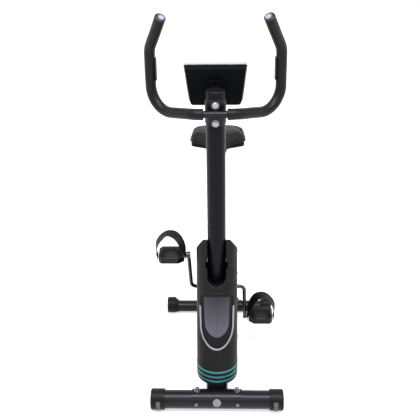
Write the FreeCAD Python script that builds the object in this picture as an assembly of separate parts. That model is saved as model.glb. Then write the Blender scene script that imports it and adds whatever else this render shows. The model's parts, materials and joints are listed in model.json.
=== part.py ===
"""Upright exercise bike, as an assembly of separate pieces.

Units are millimetres. +Z is up, the front of the bike faces -Y, and the rider
sits on the +Y side facing -Y. The origin is the bottom centre of the whole
bike's box, so the feet rest on Z = 0.
"""
import FreeCAD
import Part
import math
import os

V = FreeCAD.Vector
X_AXIS = V(1, 0, 0)
Y_AXIS = V(0, 1, 0)
Z_AXIS = V(0, 0, 1)

# ---------------------------------------------------------------- clearances
RUN = 0.05            # radial gap of a running shaft fit
SLIP = 0.15           # radial gap of a sliding or pressed-together fit
SOFT = 0.3            # gap kept round soft or curved neighbours
LOOSE = 1.0           # gap of a hole that a tube only passes through

# ---------------------------------------------------------------- stabilisers
FOOT_SPACING = 695.0          # front stabiliser axis to rear stabiliser axis
STAB_LENGTH = 460.0           # over the end caps
FRONT_TUBE_D = 63.5
REAR_TUBE_D = 50.0
STAB_WALL = 1.5
FRONT_CAP_D = 73.0
FRONT_CAP_LENGTH = 48.0
FRONT_CAP_GRIP = 10.0         # length of tube inside the front cap's sleeve
FRONT_CAP_PLUG = 30.0         # length of the cap's plug inside the tube
CAP_FLAT = 1.0                # depth of the flat foot under the front cap
CAP_LIP = 6.0                 # solid end of the rear cap beyond the tube's end
WHEEL_D = 56.0
WHEEL_WIDTH = 16.0
WHEEL_FORWARD = 10.5          # wheel axle ahead of the tube axis
WHEEL_LIFT = 2.0              # wheel clears the floor while the bike stands
WHEEL_INSET = 27.0            # wheel centre from the cap's outer end
WHEEL_AXLE_D = 8.0
REAR_CAM_D = 70.0             # eccentric levelling cap
REAR_CAM_OFFSET = 6.5         # cam centre above the tube axis at rest
REAR_CAM_WIDTH = 35.0
REAR_CAM_TAPER = 14.0
CAM_STEP = 2.0                # step between the cam, its shoulder and the tube
SADDLE_THICK = 4.0
FRONT_SADDLE_WIDTH = 172.0
REAR_SADDLE_WIDTH = 200.0
SADDLE_ARC = 56.0             # half angle of the saddle round its tube, degrees
FRONT_BOLT_X = 69.0
REAR_BOLT_X = 80.0
BOLT_D = 8.0
BOLT_HEAD_D = 18.0
BOLT_HEAD_H = 4.5
NUT_D = 14.0
NUT_H = 11.0
FACE_SCREW_X = 71.0
FACE_SCREW_D = 8.0
FACE_SCREW_HEAD_D = 13.0
FACE_SCREW_HEAD_H = 3.5
FACE_SCREW_DEPTH = 10.0
BADGE_D = 28.5
BADGE_T = 1.5
BADGE_RAISE = 7.0
WASHER_D = 22.0
WASHER_T = 2.0

# ---------------------------------------------------------------- drive
CRANK_SETBACK = 347.0         # crank axis behind the front stabiliser axis
CRANK_HEIGHT = 300.0
CRANK_RADIUS = 168.0
CRANK_ANGLE = 20.6            # left arm leans forward of straight up, degrees
CRANK_ARM_X = 101.0           # arm centre, from the mid plane, at the axle
CRANK_FLARE = 5.0             # arm moves outward over its length
CRANK_ROD_D = 14.0
CRANK_AXLE_D = 20.0
CRANK_BEND_R = 20.0
CRANK_EYE_D = 26.0
CRANK_EYE_T = 14.0
SHELL_D = 48.0                # bottom bracket shell
SHELL_BORE = 38.0
SHELL_HALF = 34.0
BEARING_W = 12.0
PULLEY_D = 200.0
PULLEY_X = 44.0               # plane of the belt
PULLEY_RIM = 14.0
BELT_W = 11.0
BELT_T = 3.5
FLYWHEEL_SETBACK = 150.0
FLYWHEEL_HEIGHT = 236.0
FLYWHEEL_D = 180.0
FLYWHEEL_T = 28.0
FLYWHEEL_BOSS_D = 54.0
SMALL_PULLEY_D = 40.0
FLY_AXLE_D = 12.0
FLY_PLATE_T = 4.0
FLY_PLATE_LEFT_X = -29.0
FLY_PLATE_RIGHT_X = 54.0
PEDAL_IN_X = 121.0
PEDAL_OUT_X = 215.0
PEDAL_DEPTH = 84.0
PEDAL_THICK = 20.0
PEDAL_TILT_LEFT = 11.0        # front edge down, degrees
PEDAL_TILT_RIGHT = 11.0
SPINDLE_D = 14.0
STRAP_W = 30.0
STRAP_T = 2.5
STRAP_RISE = 114.0
STRAP_BULGE = 11.0            # strap stands outboard of the pedal's edge
STRAP_FORWARD = SPINDLE_D / 2 + STRAP_W / 2 + LOOSE   # band centre ahead of the spindle

# ---------------------------------------------------------------- frame
SPINE_W = 46.0
SPINE_H = 28.0
SPINE_TOP = 128.0
TUBE_WALL = 2.0
NECK_W = 74.0
NECK_D = 40.0
NECK_SETBACK = 18.0           # neck's front behind the front foot's axis
NECK_START = 6.0              # neck's lower end above the tube's axis
SEAT_LEAN = 20.0              # seat tube leans to the rear, degrees
SEAT_TUBE_D = 50.0
SEAT_TUBE_GAP = 38.5          # seat tube axis behind the crank axis, square to it
SEAT_TUBE_TOP = 640.0
BEAM_W = 40.0
BEAM_H = 28.0
BEAM_TOP = 364.0
LEG_W = 50.0
LEG_H = 30.0

# ---------------------------------------------------------------- front post
POST_LEAN = -4.7              # negative leans away from the rider, degrees
POST_SETBACK = 150.0          # post axis behind the front foot at POST_REF_Z
POST_REF_Z = 538.0
POST_D = 62.0
POST_WALL = 2.0
POST_BOTTOM = 425.0
POST_TOP = 1086.0
MAST_TOP = 585.0
POST_BOLT_Z = 496.0
KNOB_Z = 800.0
KNOB_D = 52.0
KNOB_H = 26.0
KNOB_STEM_D = 12.0

# ---------------------------------------------------------------- handlebar
BAR_Z = 1027.0
BAR_D = 22.0
BAR_PLATE_GAP = 3.0           # bracket plate thickness
BAR_SINK = 1.5                # depth of the bar's seat in the plate
BRACKET_W = 66.0
BRACKET_TOP = 1070.0
BRACKET_CORNER_R = 15.0
BRACKET_BOTTOM = 984.0
BAR_BOLT_HIGH = 1052.0
BAR_BOLT_LOW = 995.0
BAR_STRAIGHT_X = 60.0         # corner of the first bend
BAR_CORNER = (209.0, 129.0, -13.0)     # lower corner from the bar's centre
BAR_ELBOW = (205.0, 84.0, 189.0)
BAR_TIP = (161.0, 9.0, 284.0)
BAR_BENDS = (60.0, 70.0, 60.0)
GRIP_D = 35.0
GRIP_START_X = 38.0
PLUG_T = 5.0
SENSOR_D = 42.0
SENSOR_LOW = 0.52             # share of the upright where the sensor starts
SENSOR_LENGTH = 70.0
SENSOR_TURN = 35.0            # sensor faces inward by this much from straight back, degrees

# ---------------------------------------------------------------- console
CONSOLE_TOP_W = 200.0
CONSOLE_BOTTOM_W = 172.0
CONSOLE_HEIGHT = 140.0
CONSOLE_DEPTH = 34.0
CONSOLE_TILT = 22.0           # display leans back from upright, degrees
CONSOLE_CORNER_R = 16.0
CONSOLE_WALL = 2.5
CONSOLE_MID_Z = 1094.0
BEZEL_T = 12.0
BEZEL_LIP = 3.0
SHELL_TAPER = 6.0             # rear shell's face is this much smaller all round
SHELL_STEP = 2.0
LENS_W = 110.0
LENS_H = 52.0
LENS_UP = 28.0
BUTTON_D = 17.0
BUTTON_DOWN = 34.0
BUTTON_SPACING = 36.0
BUTTON_TRAVEL = 1.0
BUTTON_PROUD = 2.5

# ---------------------------------------------------------------- seat
SEAT_POST_D = 42.0
SEAT_POST_WALL = 2.5
SEAT_POST_LENGTH = 400.0
SEAT_POST_OUT = 155.0         # post shown above the seat tube at rest
SEAT_TRAVEL_UP = 100.0
SEAT_TRAVEL_DOWN = 50.0
SEAT_HOLE_PITCH = 25.0
SEAT_HOLE_D = 12.0
SEAT_SLOT_W = 9.0
PIN_D = 8.0
PIN_TRAVEL = 10.0
SEAT_KNOB_D = 46.0
SEAT_KNOB_H = 28.0
SEAT_KNOB_DOWN = 32.0         # knob below the seat tube's top
SEAT_WIDTH = 214.0
SEAT_LENGTH = 258.0
SEAT_NOSE_W = 70.0
SEAT_NOSE_SHARE = 0.3         # share of the length that is narrow
SEAT_BROAD = 0.5              # share of the length that is broad
SEAT_AHEAD = 2.0              # seat's middle ahead of its post
SEAT_ROUND = 24.0
SEAT_THICK = 50.0
SEAT_BASE_T = 9.0
SEAT_PLATE_T = 5.0
SEAT_PLATE = 76.0

# ---------------------------------------------------------------- shroud
SHROUD_HALF_W = 71.5
SHROUD_WALL = 3.0
SHROUD_NOSE = 10.0            # nose behind the front foot's axis
SHROUD_NOSE_DEPTH = 80.0
SHROUD_BOTTOM = 88.0
SHROUD_BEND_Z = 130.0         # nose is upright below this height
SHROUD_RIM_Z = 433.0
SHROUD_RIM_Y = 88.0
SHROUD_TOP_Y = 118.0
SHROUD_TOP = 575.0
SHROUD_RIDGE_BACK = 150.0     # level top ends this far behind the front foot
SHROUD_REAR_BACK = 440.0      # and slopes down to here
SHROUD_REAR_TOP = 452.0
SHROUD_CHAMFER_X = 25.0
SHROUD_CHAMFER_Z = 30.0
SLOT_HALF_W = POST_D / 2 + LOOSE
SLOT_BOTTOM = 424.0
SLOT_LIP_T = 2.0
CRANK_HOLE_D = 34.0
STRIPE_HEIGHTS = (100.5, 117.5, 135.0)
STRIPE_H = 6.5
STRIPE_BACK = 130.0           # stripes end this far behind the front foot
TRIM_T = 0.9
SKIN_GAP = 0.1                # glue line under the trim pieces
TRIM_TOP = 349.0              # raised line's upper ends
TRIM_W = 6.0
PANEL_DEPTH = 1.2             # recess between the line and the shield
SHIELD_T = 3.0
SHIELD_SINK = 0.4
SHIELD_GAP = 2.0
SHIELD_FLANGE = 5.0           # hidden rim behind the shroud's wall
SHIELD_CREASE = 1.6           # width of the groove down the middle
BOLT_NOTCH = 2.0              # room round the post's side bolts
SCREW_D = 7.0
SCREW_H = 1.6
SCREW_SPOTS = ((215.0, 505.0), (190.0, 430.0), (130.0, 211.0), (425.0, 400.0), (440.0, 220.0), (290.0, 130.0))
NOSE_SCREWS = ((-50.0, 535.0), (58.0, 463.0), (50.0, 203.5))

# ---------------------------------------------------------------- brake
BRAKE_PIN_D = 6.0
BRAKE_LUG_HALF = 5.0
MAGNET_D = 20.0
MAGNET_T = 4.0
MAGNET_GAP = 1.5
ARM_PLATE_T = 2.5

# ---------------------------------------------------------------- derived
REAR_REACH = REAR_CAM_D / 2
FRONT_REACH = max(FRONT_CAP_D / 2, WHEEL_FORWARD + WHEEL_D / 2)
FRONT_Y = -(FOOT_SPACING + REAR_REACH - FRONT_REACH) / 2
REAR_Y = FRONT_Y + FOOT_SPACING
FRONT_Z = FRONT_CAP_D / 2 - CAP_FLAT
REAR_Z = REAR_CAM_D / 2 - REAR_CAM_OFFSET
CRANK_Y = FRONT_Y + CRANK_SETBACK
FLY_Y = FRONT_Y + FLYWHEEL_SETBACK
REAR_TUBE_HALF = STAB_LENGTH / 2 - CAP_LIP
FRONT_TUBE_HALF = STAB_LENGTH / 2 - FRONT_CAP_LENGTH + FRONT_CAP_GRIP


# ================================================================ helpers
def cylinder(radius, start, end):
    axis = end - start
    return Part.makeCylinder(radius, axis.Length, start, axis)


def tube(start, end, outer_d, inner_d):
    return cylinder(outer_d / 2, start, end).cut(cylinder(inner_d / 2, start, end))


def box(low, high):
    size = high - low
    return Part.makeBox(size.x, size.y, size.z, low)


def fuse(shapes):
    whole = shapes[0]
    for shape in shapes[1:]:
        whole = whole.fuse(shape)
    return whole.removeSplitter()


def mirror_x(shape):
    return shape.mirror(V(0, 0, 0), X_AXIS)


def corner_arc(before, corner, after, radius):
    """Tangent points and middle of the arc that rounds one corner."""
    to_before = (before - corner).normalize()
    to_after = (after - corner).normalize()
    half = math.acos(max(-1.0, min(1.0, to_before.dot(to_after)))) / 2
    reach = radius / math.tan(half)
    bisector = (to_before + to_after).normalize()
    centre = corner + bisector * (radius / math.sin(half))
    middle = centre - bisector * radius
    return corner + to_before * reach, middle, corner + to_after * reach


def rounded_path(points, radii):
    """Open path of straight runs joined by tangent arcs at the inner points."""
    edges = []
    last = points[0]
    for index, radius in enumerate(radii, start=1):
        first, middle, second = corner_arc(points[index - 1], points[index], points[index + 1], radius)
        edges.append(Part.LineSegment(last, first).toShape())
        edges.append(Part.Arc(first, middle, second).toShape())
        last = second
    edges.append(Part.LineSegment(last, points[-1]).toShape())
    return Part.Wire(edges)


def rounded_loop(points, radii):
    """Closed outline with every corner rounded; a radius of 0 keeps it sharp."""
    count = len(points)
    spans = []
    for index in range(count):
        before = points[index - 1]
        after = points[(index + 1) % count]
        if radii[index] > 0:
            spans.append(corner_arc(before, points[index], after, radii[index]))
        else:
            spans.append((points[index], None, points[index]))
    edges = []
    for index in range(count):
        first, middle, second = spans[index]
        if middle is not None:
            edges.append(Part.Arc(first, middle, second).toShape())
        following = spans[(index + 1) % count][0]
        if (following - second).Length > 1e-6:
            edges.append(Part.LineSegment(second, following).toShape())
    return Part.Wire(edges)


def slab(points, radii, thickness):
    return Part.Face(rounded_loop(points, radii)).extrude(thickness)


def pipe(path, radius):
    """Round bar along a smooth path."""
    first = path.Edges[0]
    start = first.valueAt(first.FirstParameter)
    heading = first.tangentAt(first.FirstParameter)
    ring = Part.Wire([Part.Circle(start, heading, radius).toShape()])
    return path.makePipeShell([ring], True, False)


def side_points(pairs):
    """Outline points in the side view: (behind the front foot, height)."""
    return [V(0, FRONT_Y + back, height) for back, height in pairs]


def placed(shape, origin, pitch):
    """Turn a shape built at the world origin about X, then move it."""
    turned = shape.copy()
    turned.rotate(V(0, 0, 0), X_AXIS, pitch)
    turned.translate(origin)
    return turned


# ================================================================ axes in space
def post_point(height):
    """Point on the post's axis at a height."""
    back = POST_SETBACK + (height - POST_REF_Z) * math.tan(math.radians(POST_LEAN))
    return V(0, FRONT_Y + back, height)


POST_DIR = V(0, math.sin(math.radians(POST_LEAN)), math.cos(math.radians(POST_LEAN)))
POST_FORWARD = V(0, -math.cos(math.radians(POST_LEAN)), math.sin(math.radians(POST_LEAN)))
SEAT_DIR = V(0, math.sin(math.radians(SEAT_LEAN)), math.cos(math.radians(SEAT_LEAN)))
SEAT_BACK = V(0, math.cos(math.radians(SEAT_LEAN)), -math.sin(math.radians(SEAT_LEAN)))


def seat_point(height):
    """Point on the seat tube's axis at a height."""
    level = V(0, CRANK_Y, CRANK_HEIGHT) + SEAT_BACK * SEAT_TUBE_GAP
    return level + SEAT_DIR * ((height - level.z) / SEAT_DIR.z)


SEAT_TOP = seat_point(SEAT_TUBE_TOP)
CRANK_CENTRE = V(0, CRANK_Y, CRANK_HEIGHT)
FLY_CENTRE = V(0, FLY_Y, FLYWHEEL_HEIGHT)
CONSOLE_AXIS = V(0, -math.sin(math.radians(CONSOLE_TILT)), math.cos(math.radians(CONSOLE_TILT)))
CONSOLE_OUT = V(0, math.cos(math.radians(CONSOLE_TILT)), math.sin(math.radians(CONSOLE_TILT)))


# ================================================================ stabilisers
def front_tube(diameter):
    start = V(-FRONT_TUBE_HALF, FRONT_Y, FRONT_Z)
    return cylinder(diameter / 2, start, V(FRONT_TUBE_HALF, FRONT_Y, FRONT_Z))


def rear_tube(diameter):
    start = V(-REAR_TUBE_HALF, REAR_Y, REAR_Z)
    return cylinder(diameter / 2, start, V(REAR_TUBE_HALF, REAR_Y, REAR_Z))


def bolt_positions():
    """Upright bolts of the two saddles: place on the tube axis and tube size."""
    spots = []
    for side in (-1, 1):
        spots.append((V(side * FRONT_BOLT_X, FRONT_Y, FRONT_Z), FRONT_TUBE_D))
        spots.append((V(side * REAR_BOLT_X, REAR_Y, REAR_Z), REAR_TUBE_D))
    return spots


def drill_saddle_holes(shape):
    for centre, diameter in bolt_positions():
        reach = Z_AXIS * diameter
        shape = shape.cut(cylinder(BOLT_D / 2 + SLIP, centre - reach, centre + reach))
    return shape


def front_stabiliser():
    body = front_tube(FRONT_TUBE_D).cut(front_tube(FRONT_TUBE_D - 2 * STAB_WALL))
    for start, end in face_screw_axes():
        body = body.cut(cylinder(FACE_SCREW_D / 2, start, end))
    return drill_saddle_holes(body)


def rear_stabiliser():
    return drill_saddle_holes(rear_tube(REAR_TUBE_D).cut(rear_tube(REAR_TUBE_D - 2 * STAB_WALL)))


def face_screw_axes():
    """Screws in the front of the front tube, from inside to the surface."""
    axes = []
    for side in (-1, 1):
        spot = V(side * FACE_SCREW_X, FRONT_Y - FRONT_TUBE_D / 2, FRONT_Z)
        axes.append((spot + Y_AXIS * FACE_SCREW_DEPTH, spot))
    return axes


def face_screws():
    screws = []
    for start, end in face_screw_axes():
        shank = cylinder(FACE_SCREW_D / 2, start, end)
        head = dome(end, Y_AXIS * -1.0, FACE_SCREW_HEAD_D, FACE_SCREW_HEAD_H)
        screws.append(fuse([shank, head]))
    return Part.makeCompound(screws)


def badge_disc():
    """Plain round disc on the front of the front tube."""
    face = V(0, FRONT_Y - FRONT_TUBE_D / 2, FRONT_Z + BADGE_RAISE)
    start = face + Y_AXIS * BADGE_D / 2
    body = cylinder(BADGE_D / 2, start, face - Y_AXIS * BADGE_T)
    plate = saddle(FRONT_Y, FRONT_Z, FRONT_TUBE_D, FRONT_SADDLE_WIDTH)
    return largest(body.cut(front_tube(FRONT_TUBE_D)).cut(plate).cut(neck_solid(0.0, FRONT_Z, SPINE_TOP)))


def wheel_centre():
    x = -(STAB_LENGTH / 2 - WHEEL_INSET)
    return V(x, FRONT_Y - WHEEL_FORWARD, WHEEL_D / 2 + WHEEL_LIFT)


def front_cap():
    """Left cap: a head beyond the tube, a sleeve over it and a plug in it."""
    outer = V(-STAB_LENGTH / 2, FRONT_Y, FRONT_Z)
    inner = outer + X_AXIS * FRONT_CAP_LENGTH
    tube_end = V(-FRONT_TUBE_HALF, FRONT_Y, FRONT_Z)
    body = cylinder(FRONT_CAP_D / 2, outer, inner)
    rim = [edge for edge in body.Edges if abs(edge.BoundBox.XMax - outer.x) < 0.01]
    body = body.makeFillet(5.0, rim)
    body = body.cut(cylinder(FRONT_TUBE_D / 2 + SLIP, tube_end, inner))
    plug = cylinder(FRONT_TUBE_D / 2 - STAB_WALL - SLIP, tube_end, tube_end + X_AXIS * FRONT_CAP_PLUG)
    return fuse([body, plug])


def wheel_slot():
    """Space for the wheel, open to the front and below."""
    hub = wheel_centre()
    half = WHEEL_WIDTH / 2 + LOOSE
    radius = WHEEL_D / 2 + 2 * LOOSE
    across = V(half, 0, 0)
    round_part = cylinder(radius, hub - across, hub + across)
    reach = FRONT_CAP_D
    low = V(hub.x - half, hub.y - reach, hub.z - reach)
    high = V(hub.x + half, hub.y, hub.z)
    return round_part.fuse(box(low, high))


def wheel_axle_hole(extra):
    hub = wheel_centre()
    half = V(WHEEL_WIDTH / 2 + 4.0, 0, 0)
    return cylinder(WHEEL_AXLE_D / 2 + extra, hub - half, hub + half)


def front_cap_with_wheel_slot():
    below = box(V(-STAB_LENGTH, FRONT_Y - FRONT_CAP_D, -FRONT_CAP_D), V(0, FRONT_Y + FRONT_CAP_D, 0))
    return front_cap().cut(below).cut(wheel_slot()).cut(wheel_axle_hole(SLIP))


def wheel_axles():
    left = wheel_axle_hole(0.0)
    return Part.makeCompound([left, mirror_x(left)])


def transport_wheel():
    hub = wheel_centre()
    half = V(WHEEL_WIDTH / 2, 0, 0)
    body = cylinder(WHEEL_D / 2, hub - half, hub + half)
    rims = [edge for edge in body.Edges if edge.Length > WHEEL_D]
    rims = [edge for edge in rims if edge.Curve.TypeId == "Part::GeomCircle"]
    body = body.makeFillet(2.0, rims)
    return body.cut(cylinder(WHEEL_AXLE_D / 2 + RUN, hub - half, hub + half))


def rear_cap():
    """Left eccentric cap that turns on the tube's end to level the bike."""
    axis_start = V(-STAB_LENGTH / 2, REAR_Y, REAR_Z)
    up = V(0, 0, REAR_CAM_OFFSET)
    cam_end = axis_start + V(REAR_CAM_WIDTH, 0, 0)
    collar_end = cam_end + V(REAR_CAM_TAPER, 0, 0)
    cam = cylinder(REAR_CAM_D / 2, axis_start + up, cam_end + up)
    rim = [edge for edge in cam.Edges if abs(edge.BoundBox.XMax - axis_start.x) < 0.01]
    cam = cam.makeFillet(4.0, rim)
    rings = [Part.makeCircle(REAR_CAM_D / 2 - CAM_STEP, cam_end + up, X_AXIS),
             Part.makeCircle(REAR_TUBE_D / 2 + CAM_STEP, collar_end, X_AXIS)]
    collar = Part.makeLoft([Part.Wire(ring) for ring in rings], True, True)
    body = fuse([cam, collar])
    tube_end = V(-REAR_TUBE_HALF - RUN, REAR_Y, REAR_Z)
    return body.cut(cylinder(REAR_TUBE_D / 2 + RUN, tube_end, collar_end))


def saddle(axis_y, axis_z, tube_d, width):
    """Curved plate that sits on top of a stabiliser tube."""
    start = V(-width / 2, axis_y, axis_z)
    end = V(width / 2, axis_y, axis_z)
    ring = tube(start, end, tube_d + 2 * SADDLE_THICK, tube_d + 2 * RUN)
    floor = tube_d / 2 * math.cos(math.radians(SADDLE_ARC))
    reach = tube_d
    keep = box(V(-width / 2, axis_y - reach, axis_z + floor), V(width / 2, axis_y + reach, axis_z + reach))
    return ring.common(keep)


# ================================================================ frame
def hollow_bar(start, end, width, height, wall, up):
    """Rectangular tube between two points in the mid plane."""
    along = (end - start).normalize()
    lift = (up - along * up.dot(along)).normalize()

    def solid(inset):
        half_w = width / 2 - inset
        half_h = height / 2 - inset
        corners = [
            start - X_AXIS * half_w - lift * half_h,
            start + X_AXIS * half_w - lift * half_h,
            start + X_AXIS * half_w + lift * half_h,
            start - X_AXIS * half_w + lift * half_h,
        ]
        radius = 5.0 - inset if inset < 5.0 else 0.0
        return slab(corners, [radius] * 4, end - start)

    return solid(0.0).cut(solid(wall))


def spine_axis(back):
    return V(0, FRONT_Y + back, SPINE_TOP - SPINE_H / 2)


def seat_tube_solid(radius):
    bottom = seat_point(SPINE_TOP - SPINE_H / 2)
    return cylinder(radius, bottom, SEAT_TOP)


def shell_solid(radius, half):
    return cylinder(radius, CRANK_CENTRE - X_AXIS * half, CRANK_CENTRE + X_AXIS * half)


def neck_centre_y():
    return FRONT_Y + NECK_D / 2 + NECK_SETBACK


def neck_solid(inset, low, high):
    y = neck_centre_y()
    half_w = NECK_W / 2 - inset
    half_d = NECK_D / 2 - inset
    corners = [V(-half_w, y - half_d, low), V(half_w, y - half_d, low),
               V(half_w, y + half_d, low), V(-half_w, y + half_d, low)]
    return slab(corners, [half_d - 1.0] * 4, V(0, 0, high - low))


def frame_spine():
    """Front saddle, neck and the low spine that runs under the flywheel."""
    plate = saddle(FRONT_Y, FRONT_Z, FRONT_TUBE_D, FRONT_SADDLE_WIDTH)
    low = FRONT_Z + NECK_START
    neck = neck_solid(0.0, low, SPINE_TOP).cut(neck_solid(3.0, low, SPINE_TOP - 3.0))
    neck = neck.cut(front_tube(FRONT_TUBE_D + 2 * RUN))
    start = spine_axis(NECK_D)
    end = V(0, seat_point(SPINE_TOP).y, SPINE_TOP - SPINE_H / 2)
    bar = hollow_bar(start, end, SPINE_W, SPINE_H, TUBE_WALL, Z_AXIS)
    bar = bar.cut(seat_tube_solid(SEAT_TUBE_D / 2))
    bar = largest(bar)
    return drill_saddle_holes(fuse([plate, neck, bar]))


def largest(shape):
    return max(shape.Solids, key=lambda solid: solid.Volume)


def frame_seat_tube():
    """Seat tube with the bottom bracket shell through its front."""
    bottom = seat_point(SPINE_TOP - SPINE_H / 2)
    outer = fuse([seat_tube_solid(SEAT_TUBE_D / 2), shell_solid(SHELL_D / 2, SHELL_HALF)])
    bore_start = seat_point(CRANK_HEIGHT + SHELL_D)
    outer = outer.cut(cylinder(SEAT_TUBE_D / 2 - TUBE_WALL, bore_start, SEAT_TOP))
    outer = outer.cut(shell_solid(SHELL_BORE / 2, SHELL_HALF))
    floor = box(V(-SEAT_TUBE_D, bottom.y - 100.0, 0), V(SEAT_TUBE_D, bottom.y + 100.0, SPINE_TOP - SPINE_H))
    outer = outer.cut(floor)
    pin_start = knob_point()
    outer = outer.cut(cylinder(PIN_D / 2 + 2.0 + SLIP, pin_start, pin_start + SEAT_BACK * SEAT_TUBE_D))
    return fuse([largest(outer), pin_sleeve()])


def frame_rear_leg():
    """Leg from the seat tube down to the rear saddle, with the saddle."""
    top = seat_point(CRANK_HEIGHT - 60.0)
    end = V(0, REAR_Y, REAR_Z)
    bar = hollow_bar(top, end, LEG_W, LEG_H, TUBE_WALL, Z_AXIS)
    bar = bar.cut(seat_tube_solid(SEAT_TUBE_D / 2))
    bar = largest(bar.cut(rear_tube(REAR_TUBE_D)))
    plate = saddle(REAR_Y, REAR_Z, REAR_TUBE_D, REAR_SADDLE_WIDTH)
    return drill_saddle_holes(fuse([plate, bar]))


def mast_solid(radius, low, high):
    return cylinder(radius, post_point(low), post_point(high))


def brake_pivot():
    return V(0, FLY_Y + 46.0, BEAM_TOP - BEAM_H - 10.0)


def frame_mast():
    """Stub that carries the front post, and the beam back to the seat tube."""
    inner = POST_D - 2 * POST_WALL - 2 * SLIP
    bottom = BEAM_TOP - BEAM_H
    mast = mast_solid(inner / 2, bottom, MAST_TOP)
    beam_z = BEAM_TOP - BEAM_H / 2
    start = V(0, post_point(beam_z).y, beam_z)
    end = V(0, seat_point(beam_z).y, beam_z)
    beam = hollow_bar(start, end, BEAM_W, BEAM_H, TUBE_WALL, Z_AXIS)
    beam = beam.cut(seat_tube_solid(SEAT_TUBE_D / 2))
    beam = largest(beam.cut(mast_solid(inner / 2 - 0.5, 0, POST_TOP)))
    pivot = brake_pivot()
    half = BRAKE_LUG_HALF
    lug = box(pivot + V(-half, -7.0, -7.0), V(half, pivot.y + 7.0, bottom))
    lug = lug.cut(cylinder(BRAKE_PIN_D / 2, pivot - X_AXIS * half, pivot + X_AXIS * half))
    body = fuse([mast, beam, lug])
    body = body.cut(mast_solid(inner / 2 - TUBE_WALL, bottom - 1.0, MAST_TOP + 1.0))
    bolt = post_point(POST_BOLT_Z)
    body = body.cut(cylinder(BOLT_D / 2 + SLIP, bolt - X_AXIS * POST_D, bolt + X_AXIS * POST_D))
    return body


# ================================================================ drive
def arm_end(side):
    """Pedal axis for the left (-1) or right (1) arm."""
    angle = math.radians(CRANK_ANGLE)
    lift = V(0, -math.sin(angle), math.cos(angle)) * CRANK_RADIUS
    return CRANK_CENTRE - lift * side


def crank():
    """One bent bar: axle, two arms and the eyes that take the pedals."""
    parts = []
    for side in (-1, 1):
        end = arm_end(side)
        base = CRANK_CENTRE + X_AXIS * (side * CRANK_ARM_X)
        top = end + X_AXIS * (side * (CRANK_ARM_X + CRANK_FLARE))
        shoulder = CRANK_CENTRE + X_AXIS * (side * (SHELL_HALF + 24.0))
        path = rounded_path([shoulder, base, top], [CRANK_BEND_R])
        parts.append(pipe(path, CRANK_ROD_D / 2))
        across = X_AXIS * (CRANK_EYE_T / 2)
        parts.append(cylinder(CRANK_EYE_D / 2, top - across, top + across))
    reach = X_AXIS * (SHELL_HALF + 24.0)
    parts.append(cylinder(CRANK_AXLE_D / 2, CRANK_CENTRE - reach, CRANK_CENTRE + reach))
    body = fuse(parts)
    for side in (-1, 1):
        end = arm_end(side)
        near = end + X_AXIS * (side * (CRANK_ARM_X - CRANK_EYE_T))
        far = end + X_AXIS * (side * (CRANK_ARM_X + 2 * CRANK_EYE_T))
        body = body.cut(cylinder(SPINDLE_D / 2, near, far))
    return body


def crank_bearings():
    """Bearings in the two ends of the bottom bracket shell, as plain rings."""
    rings = []
    for side in (-1, 1):
        outer = CRANK_CENTRE + X_AXIS * (side * SHELL_HALF)
        inner = CRANK_CENTRE + X_AXIS * (side * (SHELL_HALF - BEARING_W))
        rings.append(tube(inner, outer, SHELL_BORE, CRANK_AXLE_D + 2 * RUN))
    return Part.makeCompound(rings)


def crank_pulley():
    centre = CRANK_CENTRE + X_AXIS * PULLEY_X
    half = X_AXIS * (BELT_W / 2 + 1.5)
    body = cylinder(PULLEY_D / 2, centre - half, centre + half)
    web = X_AXIS * 4.0
    hollow = cylinder(PULLEY_D / 2 - PULLEY_RIM, centre + web, centre + half * 2)
    hub = cylinder(CRANK_AXLE_D + 4.0, centre - half, centre + half * 2)
    body = body.cut(hollow.cut(hub))
    body = body.cut(hollow.cut(hub).translated(V(-(web.x + half.x * 2), 0, 0)))
    for index in range(6):
        angle = math.radians(60.0 * index)
        spot = centre + V(0, math.cos(angle), math.sin(angle)) * (PULLEY_D * 0.3)
        body = body.cut(cylinder(15.0, spot - half, spot + half))
    groove_centre = BELT_W / 2 + 0.3
    groove = tube(centre - X_AXIS * groove_centre, centre + X_AXIS * groove_centre,
                  PULLEY_D + 4.0, PULLEY_D - 2 * BELT_T)
    body = body.cut(groove)
    return body.cut(cylinder(CRANK_AXLE_D / 2, centre - half * 2, centre + half * 2))


def flywheel():
    """Cast wheel with its small belt pulley in one piece."""
    half = X_AXIS * (FLYWHEEL_T / 2)
    body = cylinder(FLYWHEEL_D / 2, FLY_CENTRE - half, FLY_CENTRE + half)
    for side in (-1, 1):
        face = FLY_CENTRE + half * side
        floor = FLY_CENTRE + X_AXIS * (side * 6.0)
        dish = tube(floor, face, FLYWHEEL_D - 56.0, FLYWHEEL_BOSS_D)
        body = body.cut(dish)
    pulley_end = FLY_CENTRE + X_AXIS * (PULLEY_X + BELT_W / 2 + 1.5)
    body = body.fuse(cylinder(SMALL_PULLEY_D / 2, FLY_CENTRE, pulley_end))
    belt_x = X_AXIS * PULLEY_X
    groove_half = X_AXIS * (BELT_W / 2 + 0.3)
    groove = tube(FLY_CENTRE + belt_x - groove_half, FLY_CENTRE + belt_x + groove_half,
                  SMALL_PULLEY_D + 4.0, SMALL_PULLEY_D - 2 * BELT_T)
    body = body.cut(groove)
    return body.cut(cylinder(FLY_AXLE_D / 2 + RUN, FLY_CENTRE - half * 2, pulley_end + half))


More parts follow.
